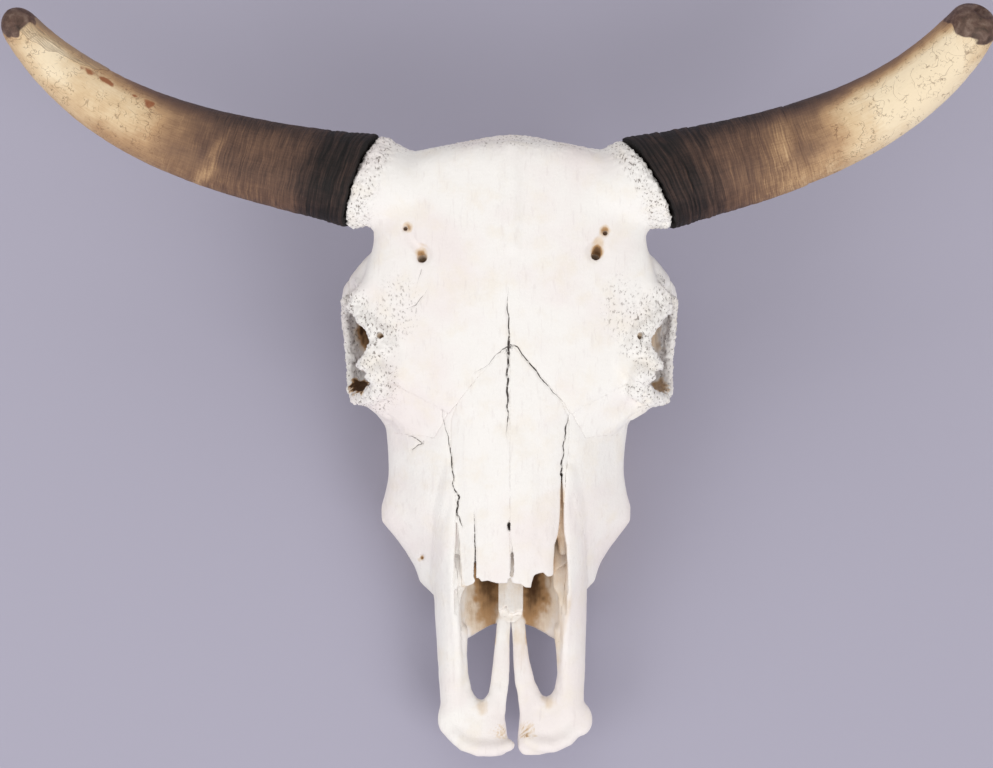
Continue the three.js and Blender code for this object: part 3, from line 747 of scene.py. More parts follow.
@dataclass(frozen=True)
class BleachedBone:
    """Dry bone bleached by sun: chalk white, matt, with fine pores, brown hollows and grey creases.

    The outer table of weathered bone is smooth at arm's length and pitted close to. Hollows are
    laid brown, as earth stain and painted shade together, and creases get a grey painted shade.
    """

    name: str = "Bleached bone, weathered"
    chalk: str = "#F2EFEB"
    rose: str = "#EEE6E3"
    ivory: str = "#EDE4D6"
    # A grey painted shade for the creases; the fibres are tinted with it too
    shade: str = "#C9BDBB"
    sand: str = "#DFCBB2"
    tan: str = "#AE8454"
    umber: str = "#4C321D"
    crack: str = "#2A1C16"
    roughness: float = 0.8
    ior: float = 1.45
    specular: float = 0.3

    def make(self) -> bpy.types.Material:
        """Builds the material from what the skull's meshes carry."""
        n = Node(self.name)
        place = n.place()
        hollow, crevice_shade = n.mark("hollow"), n.mark("crevice_shade")
        porous, stain = n.mark("porous"), n.mark("stain")
        patches, mottle = n.noise(place, 11.0, 3.0), n.noise(place, 48.0, 5.0)
        grain = n.noise(place, 420.0, 3.0, 0.6)  # 2 mm grain, which only a near view shows
        # Fibres of the bone: across the skull they are 1.5 mm apart, and they run along the face
        fibres = n.noise(n.stretched(place, (1.0, 0.14, 0.4)), 340.0, 4.0, 0.6)
        # Painted grey shade in creases and between the beads
        crease_shade = n.plus(crevice_shade, n.about(mottle, 0.35))
        # Brown in the most enclosed hollows: earth stain and painted shade together
        deep = n.plus(hollow, n.about(mottle, 0.25))
        # Brown stains; deep in the eye sockets and the nose they carry painted shade too
        marked = n.plus(stain, n.about(mottle, 0.22), n.about(fibres, 0.12))
        colour = n.mixed(n.band(patches, 0.42, 0.66), linear(self.chalk), linear(self.rose))
        # What each coat follows, from where to where it builds up, how far, and its colour
        coats = (
            (mottle, 0.45, 0.75, 0.5, self.ivory),
            (fibres, 0.56, 0.7, 0.16, self.shade),
            (crease_shade, 0.3, 1.0, 0.75, self.shade),
            (deep, 0.25, 0.7, 0.6, self.sand),
            (deep, 0.75, 1.15, 0.8, self.tan),
            (marked, 0.1, 0.5, 0.8, self.sand),
            (marked, 0.45, 0.85, 0.9, self.tan),
            (marked, 0.8, 1.25, 0.95, self.umber),
        )
        for value, low, high, most, sheet in coats:
            colour = n.laid(colour, n.band(value, low, high, (0.0, most)), sheet)
        # Ragged pores of about 1 mm where the bone is porous
        ragged = n.noise(n.stretched(place, (1.0, 0.55, 1.0)), 560.0, 3.0, 0.62)
        pinholes = n.times(n.band(ragged, 0.56, 0.66), n.band(porous, 0.15, 0.95))
        colour = n.laid(colour, n.times(pinholes, 0.7), self.umber)
        half = n.mark("half")
        wide = n.sum_of("MAXIMUM", half, 0.02)
        beyond = n.sum_of("DIVIDE", n.size(n.mark("across")), wide)
        crack = n.times(n.band(beyond, 1.35, 0.7), n.band(half, 0.08, 0.5, (0.25, 0.95)))
        broken = n.band(n.noise(place, 260.0, 2.0), 0.36, 0.5, (0.35, 1.0))
        colour = n.laid(colour, n.times(crack, broken), self.crack)
        n.link(colour, "Base Color")
        n.fix(Roughness=self.roughness, IOR=self.ior, Specular_IOR_Level=self.specular)
        height = n.plus(n.about(grain, 0.25), n.about(mottle, 0.5), n.about(fibres, 0.22))
        n.relief(n.sum_of("SUBTRACT", height, n.times(pinholes, 0.5)), 0.55, 0.0014)
        return n.material


@dataclass(frozen=True)
class HornKeratin:
    """Weathered horn: layered keratin, near black and ringed at the root, cream towards the tip.

    A grown horn is dense. Its rings are dull and flaking, the pale part is worn to a low satin
    sheen and covered in hair-thin scratches, and the last of it is brown again.
    """

    name: str
    shades: tuple[tuple[float, str], ...] = (
        (0.0, "#120D0C"), (0.12, "#2A1E1B"), (0.26, "#49362E"), (0.42, "#6B5041"),
        (0.55, "#8C6C52"), (0.68, "#BA9670"), (0.8, "#DCC19A"), (0.93, "#F1DFBF"),
    )  # fmt: skip
    hair: str = "#6A4C36"
    layer: str = "#93816C"
    tips: tuple[tuple[float, str], ...] = ((0.3, "#2E1D19"), (0.5, "#5A423A"), (0.68, "#7E695E"))
    rust: str = "#8A4316"
    roughness: float = 0.52
    ior: float = 1.5
    specular: float = 0.32

    def make(self) -> bpy.types.Material:
        """Builds the material from the paleness and the wear that the horn's mesh carries."""
        n = Node(self.name)
        place = n.place()
        straight = n.mark("straight", "Vector")  # millimetres on the horn laid out straight
        pale, ringed, flake = n.mark("pale"), n.mark("ringed"), n.mark("flake")
        blotch = n.noise(place, 55.0, 6.0, 0.6)
        lines = n.noise(n.stretched(straight, (0.75, 0.035, 0.035)), 1.0, 6.0, 0.68)
        threads = n.noise(n.stretched(straight, (0.07, 0.8, 0.8)), 1.0, 5.0, 0.62)
        ring_lines = n.times(n.about(lines, 0.3), ringed)
        shade = n.plus(pale, n.about(blotch, 0.13), ring_lines, n.about(threads, 0.075))
        colour = n.ramp(shade, self.shades)
        worn = n.band(pale, 0.4, 0.7)
        # Hair-thin wandering scratches, 5 to 20 mm long
        for scale, thin in ((120.0, 0.016), (50.0, 0.008), (210.0, 0.03)):
            wisp = n.noise(n.shaken(place, scale * 1.7, 0.5 / scale), scale, 1.0)
            line = n.band(n.size(n.sum_of("SUBTRACT", wisp, 0.5)), thin, thin * 0.3)
            line = n.times(line, n.band(n.noise(place, scale * 0.6, 2.0), 0.5, 0.6))
            colour = n.laid(colour, n.times(line, n.times(worn, 0.5)), self.hair)
        rust = n.plus(n.mark("rust"), n.about(blotch, 0.5))
        colour = n.laid(colour, n.band(rust, 0.45, 1.0, (0.0, 0.85)), self.rust)
        clinging = n.mixed(n.band(threads, 0.35, 0.65), linear(self.layer), colour)
        colour = n.mixed(n.band(flake, 0.5, 0.9, (0.0, 0.8)), colour, clinging)
        edge = n.times(n.band(flake, 0.15, 0.45), n.band(flake, 0.85, 0.55))
        colour = n.laid(colour, n.times(edge, 0.6), self.hair)
        swirl = n.noise(n.shaken(place, 70.0, 0.012), 120.0, 5.0, 0.6)
        tip = n.plus(n.mark("tip"), n.about(blotch, 0.35))
        colour = n.mixed(n.band(tip, 0.3, 0.7, (0.0, 0.96)), colour, n.ramp(swirl, self.tips))
        n.link(colour, "Base Color")
        n.link(n.plus(n.about(blotch, 0.08), self.roughness, n.times(ringed, 0.14)), "Roughness")
        n.fix(IOR=self.ior, Specular_IOR_Level=self.specular)
        fine = n.noise(place, 700.0, 4.0, 0.6)  # under 2 mm, which only a near view shows
        ridges = n.times(n.about(lines, 0.8), ringed)
        height = n.plus(n.about(blotch, 0.4), n.about(fine, 0.25), ridges, n.about(threads, 0.3))
        n.relief(height, 0.5, 0.001)
        return n.material


@dataclass(frozen=True)
class ToothEnamel:
    """Old enamel: ivory and glossy, with brown-black tartar near the gum and on the worn face."""

    name: str = "Tooth enamel, old"
    shades: tuple[tuple[float, str], ...] = ((0.1, "#E5D6B6"), (0.35, "#9C7038"), (0.62, "#35251A"))
    roughness: float = 0.32
    ior: float = 1.62

    def make(self) -> bpy.types.Material:
        """Builds the material."""
        n = Node(self.name)
        mottle = n.noise(n.place(), 160.0, 5.0, 0.6)
        n.link(n.ramp(n.times(n.mark("worn"), mottle), self.shades), "Base Color")
        n.fix(Roughness=self.roughness, IOR=self.ior)
        n.relief(mottle, 0.25, 0.0008)
        return n.material


# Bones


BONES = (
    "maxilla_left", "maxilla_right", "premaxilla_left", "premaxilla_right",
    "nasal_left", "nasal_right", "frontal_bone", "occipital_bone",
    "zygomatic_left", "zygomatic_right", "lacrimal_left", "lacrimal_right",
    "braincase", "vomer",
)  # fmt: skip


@dataclass(frozen=True)
class Crack:
    """A hairline drawn on the bone: where it runs in plan and how wide it is at each point."""

    line: Line
    halves: tuple[float, ...]
    stray: float = 1.0


CRACKS = (
    Crack(
        ((-1.8, 366), (-2.6, 349), (-0.9, 333), (-1.7, 322), (-1.7, 306), (-2.5, 286), (-1.7, 269),
         (-3.3, 250)),
        (0.1, 0.45, 0.6, 0.9, 0.9, 0.8, 0.6, 0.1),
    ),
    Crack(
        ((0, 322), (5.6, 320), (16, 308), (28, 293), (37, 284), (46, 275)),
        (0.5, 0.45, 0.5, 0.45, 0.3, 0.1),
    ),
    Crack(((-2, 321), (-10, 315), (-18, 307), (-28.5, 301)), (0.4, 0.3, 0.25, 0.1)),
    Crack(
        ((-56, 271), (-50, 247), (-46, 218), (-48, 214), (-42, 204), (-43.5, 190), (-40, 181)),
        (0.2, 0.4, 0.55, 0.5, 0.6, 0.55, 0.3),
    ),
    Crack(((-89, 254), (-81, 255), (-73, 249), (-81, 244), (-93, 243)), (0.1, 0.3, 0.4, 0.3, 0.1)),
    Crack(((49, 272), (46, 256), (44, 239), (42, 221)), (0.1, 0.5, 0.6, 0.8)),
    Crack(((-29.5, 190), (-29, 165), (-28.6, 139)), (0.25, 0.5, 0.7), 0.2),
    Crack(((-67, 366), (-71, 360), (-77, 354), (-85, 351)), (0.1, 0.3, 0.3, 0.1)),
    Crack(((-72, 381), (-76, 371)), (0.3, 0.1)),
    Crack(((-1, 182), (-1, 176)), (0.8, 0.4)),
    Crack(((1.6, 166), (1.6, 141)), (0.1, 0.9)),
)  # fmt: skip

BROKEN_TIPS: Line = (
    (-46, 130), (-42, 133), (-36, 133), (-30, 135), (-28, 138.5), (-25.5, 140), (-24, 136.5),
    (-18, 137), (-15, 135.8), (-10, 134.5), (-2, 134.5), (-0.3, 140), (2, 134.5), (9, 134),
    (12, 131.5), (14, 129.5), (17.2, 130), (18.6, 137.5), (20, 141.5), (24, 143), (27.5, 144),
    (31, 140.5), (35, 141.5), (38, 147), (47, 153),
)  # fmt: skip
SOCKET_EDGE = (
    (136, 362, 140), (131, 353, 146), (126, 343, 151), (119, 338, 153), (115, 330, 152),
    (117, 322, 151), (123, 319, 148), (125, 309, 146), (120, 297, 142), (117, 289, 138),
    (124, 281, 130),
)  # fmt: skip
LOWER_RIM = (
    (118, 281, 124), (126, 284, 104), (131.5, 297, 86), (134, 330, 84), (137, 358, 92),
    (135, 368, 116),
)  # fmt: skip

# Forms of the right eye socket, in the order in which they are worked
SOCKET_FORMS = (
    # The rear and the front part of the broken roof, and the lump between them
    Job(Rod(
        ((112, 372, 152), (126, 365, 146), (126, 356, 146), (121, 346, 149), (114, 340, 151),
         (104, 331, 152)), (8, 5.5, 5, 5, 5.5, 6)), 5),
    Job(Rod(
        ((101, 322, 151), (111, 318.5, 150), (117.5, 309.5, 147), (118, 302, 145),
         (106, 300, 148)), (6, 5.5, 5, 5, 8)), 5),
    Job(Boss((98, 314, 147), (13, 13, 4.5)), 4),
    # The front corner and the lower rim
    Job(Rod(((104, 289, 136), (117, 285, 124), (127, 287, 106), (131, 298, 88)),
            (7.5, 6, 5, 4.5)), 6),
    Job(Rod(LOWER_RIM[2:], (4, 3.5, 3.5, 4.5)), 4),
    # The hollow in the front corner
    Job(Boss((122, 300, 132), (5, 5, 30)), 1.5, cut=True),
    Job(Boss((128, 298, 130), (4.4, 4.6, 30)), 1.5, cut=True),
)  # fmt: skip

# Where the holes over the brow open, and where the groove from each of them ends
BROW_HOLES = ((-72, 393, (-85, 415)), (70, 395, (77, 411)))

# The gap beside the right nasal bone and the shallower one beside the left
NASAL_GAPS = (
    Job(Cleft(
        ((42, 222), (42.4, 205), (42.4, 190), (42, 176), (41.4, 165), (41.5, 150), (42, 130)),
        (0.5, 0.9, 1.3, 2.6, 5.2, 5.8, 6.2), 84, 140), 0.8, cut=True),
    Job(Cleft(
        ((-44, 184), (-43.5, 172), (-43.5, 156), (-43.5, 130)), (0.3, 1.2, 2.4, 3.2), 88, 140),
        1.0, cut=True),
)  # fmt: skip
# The shelf of bone deep in each gap: its place across and how far below the surface it runs
SHELVES = ((43.5, 9.5), (-43, 7.5))
# The slits in the broken tips, between the nasal bones and in the left one
TIP_SLITS = (
    Job(Cleft(((1.6, 158), (1.6, 140)), (0.3, 1.0), 80, 125), 0.5, cut=True),
    Job(Cleft(((-28.5, 152), (-28.2, 138)), (0.1, 0.6), 84, 125), 0.4, cut=True),
)
LIPS = (
    ((-1, 4.5, 43.5), (-12, 2, 44.5), (-26, 2, 44.5), (-38, 6, 44), (-47, 14, 43.5)),
    ((15, 9, 43.5), (25, 5.5, 44.5), (36, 5, 44.5), (48, 10.5, 44), (56, 19, 43.5)),
)
# The edges of the two openings behind the lips, which are round at their lower ends
BAYS = (
    ((-39, 99, 60), (-40.6, 80, 53), (-40, 64, 48), (-37.3, 50, 46), (-32.5, 39.5, 45),
     (-24, 33.5, 44.5), (-15.5, 38, 45), (-10.5, 50, 46)),
    ((40.5, 99, 61), (43.6, 80, 54), (45, 64, 49), (42.5, 50, 46), (38.5, 43, 45.5),
     (31, 38.5, 45), (23, 41.5, 45), (18.5, 50, 46)),
)  # fmt: skip
MUZZLE_FORMS = (
    *(Job(Rod(lip, (4.2, 5.4, 5.8, 5.6, 5.2)), 6) for lip in LIPS),
    *(Job(Rod(bay, (3.6, 4.8, 5, 5.2, 5.2, 5.2, 5, 4.6)), 5) for bay in BAYS),
    # The outer corners of the lips, then the groove behind each lip
    Job(Boss((-51.5, 27, 43), (8.5, 13, 6)), 4),
    Job(Boss((60, 27, 43), (9, 13, 6.5)), 4),
    Job(Rod(((-1, 14, 51), (-10, 15, 51.5), (-21, 18, 53)), (2.4, 2.8, 2)), 3, cut=True),
    Job(Rod(((10, 18, 51.5), (18, 20, 52), (29, 25, 54)), (2.6, 3, 2)), 3, cut=True),
    # The plate between the nasal cavities and its broken end
    Job(Cleft(((0.8, 116), (0.8, 160)), (10.2, 10), 60, 69), 0.8),
    Job(BrokenEdge(
        ((-11, 114), (-6, 116), (-2.6, 120), (-1.4, 113), (3, 112.5), (8, 115), (13, 113.5)),
        61, 74), 0.6, cut=True),
)  # fmt: skip
# How far across the nose opening reaches along the skull, on the left and on the right
INNER_LEFT = ((66, -36), (110, -44), (132, -46), (159, -44), (177, -42), (190, -41))
INNER_RIGHT = ((66, 43), (88, 45), (110, 51), (133, 52), (159, 50), (178, 46), (190, 44))
# The right process beside the neck joint, which widens upwards
JUGULAR_PROCESS = Rod(((60, 450, 72), (62, 452, 42), (59, 451, 18)), (14, 11, 7))
JAW_END: Line = (
    (-92, 153), (-82, 142), (-79, 133), (-77, 125), (-74.5, 127.5), (-72, 121.5), (-69.5, 124),
    (-66.5, 121), (-63, 127),
)  # fmt: skip


def along_way(plan: HornPlan, points: Array) -> tuple[Array, Array]:
    """Gives how far points lie past a horn's root edge and how far from the horn's middle line."""
    way = plan.way(np.array([0.0]))[0]
    across = np.cross(way, (0.0, 0.0, 1.0))
    across /= np.linalg.norm(across)
    gap = points - np.array(plan.root)
    past = gap @ way
    radial = np.sqrt(np.maximum((gap**2).sum(axis=1) - past**2, 0.0))
    return past - plan.side * math.tan(math.radians(plan.slant)) * (gap @ across), radial


@dataclass
class Skull:
    """All the bones: their field, their small forms and the meshes drawn from them."""

    space: SkullSpace
    grid: DistanceGrid
    coarse: DistanceGrid
    bones: dict[str, BoneField] = field(default_factory=dict)
    broad: Array | None = None
    whole: Array | None = None
    recess: Array | None = None
    crease: Array | None = None

    REACH = 6.0  # millimetres from a surface up to which the fine field is true
    FAR_REACH = 22.0  # the same for the coarse field
    OVERLAP = 0.15  # how far a bone reaches past the middle of a seam
    WAVER = 0.8  # how far a seam strays from where the solids meet
    SHARP = math.radians(62)  # the angle from which two faces meet in a sharp edge

    def read_solids(self) -> None:
        """Reads every imported bone into its own field."""
        self.broad = np.full(self.coarse.shape, self.FAR_REACH, np.float32)
        for name in BONES:
            points = self.space.to_skull(corners_of(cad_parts[name]))
            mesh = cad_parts[name].data
            mesh.calc_loop_triangles()
            faces = np.zeros(len(mesh.loop_triangles) * 3, np.int32)
            mesh.loop_triangles.foreach_get("vertices", faces)
            faces = faces.reshape(-1, 3)
            window, values = self.grid.of_mesh(points, faces, self.REACH, self.REACH + 3)
            self.bones[name] = BoneField(name, window, values)
            margin = self.FAR_REACH + 2
            span, far = self.coarse.of_mesh(points, faces, self.FAR_REACH, margin)
            self.broad[span] = np.minimum(self.broad[span], far)

    def round_off(self) -> None:
        """Joins the bones into one field and rounds it, least where the bone is thin."""
        sharp = np.full(self.grid.shape, self.REACH, np.float32)
        for bone in self.bones.values():
            x, y, _ = self.grid.places(bone.window)
            # The upper ends of the premaxillae lie flush against the upper jaw
            flush = 10.0 * bone.name.startswith("premaxilla")
            wide = flush * fade(np.abs(x), 38, 46) * fade(y, 100, 132)
            sharp[bone.window] = blended(sharp[bone.window], bone.values, wide)
        fine = np.minimum(softened(sharp - 0.25, 3), sharp + 0.7)
        depth = -self.broad
        for _ in range(4):
            for axis in range(3):
                ahead, behind = np.roll(depth, 1, axis), np.roll(depth, -1, axis)
                depth = np.maximum(depth, np.maximum(ahead, behind))
        ratio = self.coarse.step / self.grid.step
        thick = fade(depth, 2.6, 6.0)
        smooth = stretched(softened(np.clip(self.broad, -12, 12), 7), self.grid.shape, ratio)
        share = stretched(softened(thick, 2), self.grid.shape, ratio)
        x, y, z = self.grid.places(tuple(slice(0, n) for n in self.grid.shape))
        roof = fade(y, 264, 296) * fade(z - 0.32 * (y - 250), 92, 104) * fade(np.abs(x), 128, 112)
        limit = (1.3 + 2.2 * roof).astype(np.float32)
        change = np.clip(smooth - fine, -limit, limit) * share
        near = np.abs(fine) < self.REACH - 0.6
        self.whole = np.where(near, fine + change, fine)

    def top(self, x: float, y: float) -> float:
        """Gives the height of the bone's upper surface at a place in plan."""
        i, j = (round((v - low) / self.grid.step) for v, low in zip((x, y), self.grid.low))
        column = self.whole[i, j]
        inside = np.nonzero(column < 0)[0]
        k = int(inside[-1])
        share = column[k] / (column[k] - column[k + 1])
        return float(self.grid.low[2] + (k + share) * self.grid.step)

    def on(self, x: float, y: float, lift: float = 0.0) -> Point:
        """Gives the point on the upper surface over a place in plan, raised by the lift."""
        return (x, y, self.top(x, y) + lift)

    def work(self, form: Form, width: float, cut: bool = False) -> None:
        """Joins a form to the whole field or cuts it out, with a rounding of the width given."""
        low, high = form.reach()
        span = self.grid.window(low, high, width + 3.0)
        gap = form.distance(*self.grid.places(span)).astype(np.float32)
        held = self.whole[span]
        self.whole[span] = -blended(-held, gap, width) if cut else blended(held, gap, width)

    def work_all(self, jobs: tuple[Job, ...]) -> None:
        """Works forms one after the other."""
        for job in jobs:
            self.work(job.form, job.width, job.cut)

    def sockets(self) -> None:
        """Shapes the broken roofs, the front hollows and the lower rims of the eye sockets."""
        for side in SIDES.values():
            self.work_all(tuple(replace(job, form=job.form.on_side(side)) for job in SOCKET_FORMS))
            mouth = (107, 332, self.top(side * 107, 332) + 1)
            notch = Rod((mouth, (102, 326, 145)), (3.0, 2.0)).on_side(side)
            self.work(notch, 1.5, cut=True)

    def forehead(self) -> None:
        """Cuts the brow holes with their grooves, and raises the ridge up the middle."""
        for x, y, far in BROW_HOLES:
            mouth = self.on(x, y)
            throat = (x * 0.97, y - 6, mouth[2] - 24)
            self.work(Boss(self.on(x, y, 1.5), (7.5, 7.5, 4.5)), 4, cut=True)
            self.work(Rod(((x, y, mouth[2] + 4), throat), (4.1, 3.6)), 1, cut=True)
            middle = ((x + far[0]) / 2 - 1.0, (y + far[1]) / 2)
            groove = (self.on(x, y + 4, 1.0), self.on(*middle, 1.2), self.on(*far, 1.6))
            self.work(Rod(groove, (2.6, 2.4, 1.8)), 4, cut=True)
            self.work(Rod((self.on(*far, 3), self.on(*far, -7)), (2.2, 1.8)), 2, cut=True)
        crest = tuple(self.on(0.5, y, -3.2) for y in (400, 425, 450, 476))
        self.work(Rod(crest, (2.6, 4.2, 4.6, 3.5)), 9)

    def nose(self) -> None:
        """Breaks the nasal tips, opens the gap on the right and shapes the ends of the nose."""
        self.work(BrokenEdge(BROKEN_TIPS, 78, 130), 0.6, cut=True)
        # The seam between the nasal bones is closed at its upper end
        self.work(Rod(((0, 241, 130.5), (0, 266, 138.5)), (4, 4)), 3)
        shelves = [tuple(self.on(x, y, -drop) for y in (216, 196, 178, 162)) for x, drop in SHELVES]
        self.work_all(NASAL_GAPS)
        for shelf in shelves:
            self.work(Rod(shelf, (3, 4.2, 4.6, 3)), 2)
        self.work_all(TIP_SLITS)
        self.work(Boss(self.on(-1, 179), (0.8, 3.0, 3)), 0.8, cut=True)
        self.work_all(MUZZLE_FORMS)
        # A nutrient hole in the left upper jaw, and that jaw's ragged front end
        self.work(Boss(self.on(-73, 160), (2.0, 2.8, 6)), 0.8, cut=True)
        self.work(BrokenEdge(JAW_END, 10, 56), 0.6, cut=True)

    def jaws(self) -> None:
        """Clears the solid tooth rows away for single teeth, and shapes the jugular processes."""
        for side in SIDES.values():
            row = ((side * 60, 150), (side * 68, 200), (side * 70, 250), (side * 66, 288))
            self.work(Cleft(row, (16, 20, 20, 18), -9, GUM_HEIGHT), 1.5, cut=True)
            self.work(JUGULAR_PROCESS.on_side(side), 8)

    def measure(self) -> None:
        """Works out how enclosed every place is, broadly and finely."""
        solid = np.clip(0.5 - self.whole / 2.4, 0, 1)
        self.crease = softened(solid, 5)
        ratio = int(round(self.coarse.step / self.grid.step))
        self.recess = softened(solid[::ratio, ::ratio, ::ratio].copy(), 16)

    def roughness(self, points: Array) -> tuple[Array, Array]:
        """Gives how beaded and how pitted the bone is at points on it."""
        x, y, z = points.T
        beaded = np.zeros(len(points), np.float32)
        for plan in HORN_PLANS.values():
            past, radial = along_way(plan, points)
            collar = fade(past, -30, -10) * fade(past, 12, 6) * fade(radial, 60, 50)
            beaded = np.maximum(beaded, collar)
        mirrored = np.stack([np.abs(x), y, z], axis=1)
        edge = Rod(SOCKET_EDGE, (0.0,) * len(SOCKET_EDGE)).distance(*mirrored.T)
        rim = Rod(LOWER_RIM, (0.0,) * len(LOWER_RIM)).distance(*mirrored.T)
        patch = swell(points, 16, 31)
        beaded = np.maximum(beaded, fade(edge + 5 * patch, 25, 8))
        beaded = np.maximum(beaded, 0.85 * fade(rim, 13, 7))
        poll = fade(y, 468, 486) * fade(z, 150, 170) * fade(np.abs(x), 112, 96)
        pitted = np.maximum(fade(edge + 5 * patch, 34, 12), 0.8 * poll)
        brow = fade(np.hypot(np.abs(x) - 92, (y - 352) * 0.7), 30, 10) * 0.6
        return np.maximum(beaded, 0.35 * poll), np.maximum(np.maximum(pitted, brow), beaded)

    def stains_and_painted_shade(self, points: Array) -> Array:
        """Gives how brown the bone is at points on it, as stains and as painted shade."""
        x, y, z = points.T
        stain = np.zeros(len(points), np.float32)
        spots = (
            ((-105, 330, 149), 7, 0.8), ((105, 331, 150), 5, 0.6),
            ((-72, 395, 172), 7.5, 1.1), ((70, 397, 172), 7.5, 1.1), ((-84, 415, 180), 6, 0.8),
            ((77, 412, 180), 6, 0.9), ((-72, 400, 178), 7, 0.42), ((71, 403, 178), 7, 0.5),
            ((-24, 37, 50), 9, 0.42), ((31, 43, 52), 10, 0.46), ((-73, 160, 58), 4.5, 1.1),
        )  # fmt: skip
        rough = swell(points, 9, 131, 3)
        for centre, radius, amount in spots:
            gap = np.sqrt((x - centre[0]) ** 2 + (y - centre[1]) ** 2 + (z - centre[2]) ** 2)
            stain = np.maximum(stain, amount * fade(gap / radius + 0.3 * rough, 1.15, 0.15))
        # Brown in the hollow at each socket's front corner: stain and painted shade
        spikes = np.hypot(np.abs(x) - 125, y - 299) + 3.2 * swell(points, 4.5, 137, 2)
        corner = fade(spikes, 11.5, 5.5) * fade(z, 145, 136) * fade(z, 60, 80)
        stain = np.maximum(stain, corner * np.where(x < 0, 1.5, 0.75))
        # Painted shadow deep in each eye socket, under its broken roof
        back = fade(np.hypot((np.abs(x) - 108) / 22, (y - 336) / 22), 1.0, 0.3) * fade(z, 142, 128)
        stain = np.maximum(stain, 0.36 * back * fade(z, 84, 96))
        deep = np.hypot((np.abs(x) - 116) / 16, (y - 343) / 26) + 0.25 * rough
        deep = fade(deep, 1.0, 0.35) * fade(z, 138, 118) * fade(z, 66, 90)
        deep *= fade(np.abs(x), 100, 108)
        stain = np.maximum(stain, deep * np.where(x < 0, 1.6, 0.9))
        # Dirt lies in fine strokes that fan out from the gap between the two lips
        reach = np.hypot(x - 4, y - 10)
        fan = np.stack([np.arctan2(y - 10, x - 4) * 55, reach * 0.2, z * 0], axis=1)
        strokes = fade(reach, 28, 9) * fade(y, 30, 20) * fade(y, 8, 13) * fade(z, 40, 46)
        stain = np.maximum(stain, strokes * (0.42 + 0.45 * swell(fan, 1.8, 139, 2)))
        return np.maximum(stain, self.nose_stain_and_painted_shade(points))

    def nose_stain_and_painted_shade(self, points: Array) -> Array:
        """Gives how brown the nose is inside: darkest on both sides of the septum."""
        x, y, z = points.T
        below = through(y, [(90, 76), (131, 90), (180, 106), (240, 125), (262, 132)])
        across = through(x + np.sign(x) * 4.5 * swell(points, 7, 149, 3), [
            (-41, 0.24), (-36, 0.38), (-30, 0.66), (-23, 0.98), (-15, 1.05), (-8, 0.8), (0, 0.3),
            (9, 0.8), (16, 1.1), (22, 1.05), (28, 0.8), (34, 0.52), (43, 0.36),
        ])  # fmt: skip
        along = through(y, [(86, 0.5), (104, 0.72), (122, 0.95), (140, 1.05), (200, 1.1)])
        under, rear = fade(z, below, below - 3), fade(y, 262, 225)
        pocket = fade(np.abs(x - 1), 44, 41) * fade(z, 43, 47) * under * fade(y, 84, 90)
        pocket *= rear
        pocket *= 1 - fade(np.abs(x - 0.8), 12.8, 11.4) * fade(y, 112, 106)
        septum = fade(np.abs(x - 1), 12.5, 10.5) * fade(z, 56, 59) * fade(y, 104, 108) * rear
        septum *= under
        # Brown in the pockets beside the septum, darker further in: stain and painted shade
        stain = pocket * across * along
        stain += (0.25 - stain) * septum
        # Painted shade on the inner flanges of the nose opening, heavier on the right
        inner_left = through(y, INNER_LEFT)
        inner_right = through(y, INNER_RIGHT)
        flange = fade(x, inner_left - 2, inner_left + 4)
        flange = flange * fade(x, inner_right + 3, inner_right - 4)
        flange *= fade(y, 52, 74) * fade(y, 196, 176) * fade(z, 36, 44)
        flange *= fade(z, below + 2, below - 4)
        side = np.where(x > 0, 0.34, 0.22) * fade(np.abs(x), 22, 32)
        prong = fade(np.abs(x), 30, 24) * np.where(x > 3.5, 0.26, 0.1) * fade(y, 36, 60)
        # Brown deep in the gap beside the right nasal bone: stain and painted shade
        gap = fade(np.abs(x - 41), 5, 3.2) * fade(y, 150, 172) * fade(y, 222, 200)
        gap *= 0.62 * fade(z, 0.44 * (y - 180) + 106, 0.44 * (y - 180) + 103)
        return np.maximum(np.maximum(stain, gap), flange * np.maximum(side, prong))

    def cracks(self, points: Array) -> tuple[Array, Array]:
        """Gives the signed distance in plan from the nearest crack and that crack's half-width."""
        stray = 0.9 * np.stack([swell(points, 7, 41, 2), swell(points, 7, 47, 2)], axis=1)
        across = np.full(len(points), 9.0, np.float32)
        half = np.zeros(len(points), np.float32)
        upper = points[:, 2] > 84 + 0.2 * (points[:, 1] - 140)
        for crack in CRACKS:
            flat = np.array(crack.line)
            x, y = (points[:, :2] + crack.stray * stray).T
            near = np.nonzero(
                upper
                & (x > flat[:, 0].min() - 4) & (x < flat[:, 0].max() + 4)
                & (y > flat[:, 1].min() - 4) & (y < flat[:, 1].max() + 4)
            )[0]  # fmt: skip
            px, py = x[near], y[near]
            for k in range(len(flat) - 1):
                way = flat[k + 1] - flat[k]
                length = float(way @ way)
                share = ((px - flat[k, 0]) * way[0] + (py - flat[k, 1]) * way[1]) / length
                inside = np.clip(share, 0.0, 1.0)
                gx, gy = px - flat[k, 0] - inside * way[0], py - flat[k, 1] - inside * way[1]
                gap = np.hypot(gx, gy)
                signed = np.where(way[0] * gy - way[1] * gx < 0, -gap, gap)
                width = crack.halves[k] * (1 - inside) + crack.halves[k + 1] * inside
                better = gap < np.abs(across[near])
                across[near] = np.where(better, signed, across[near])
                half[near] = np.where(better, width * fade(gap, 3.0, 1.8), half[near])
        return across, half

    def normals(self, points: Array, step: float = 0.9) -> Array:
        """Gives the directions out of the bone at points on its surface."""
        way = np.stack(
            [
                self.grid.sample(self.whole, points + step * axis)
                - self.grid.sample(self.whole, points - step * axis)
                for axis in np.eye(3)
            ],
            axis=1,
        )
        return way / np.maximum(np.linalg.norm(way, axis=1, keepdims=True), 1e-6)

    def dressed(self, points: Array) -> tuple[Array, dict[str, Array]]:
        """Gives the last shape of surface points and what their material reads.

        Args:
            points: Points on the surface in the skull's millimetres.

        Returns:
            The moved points, and numbers for each point by name.
        """
        normal = self.normals(points)
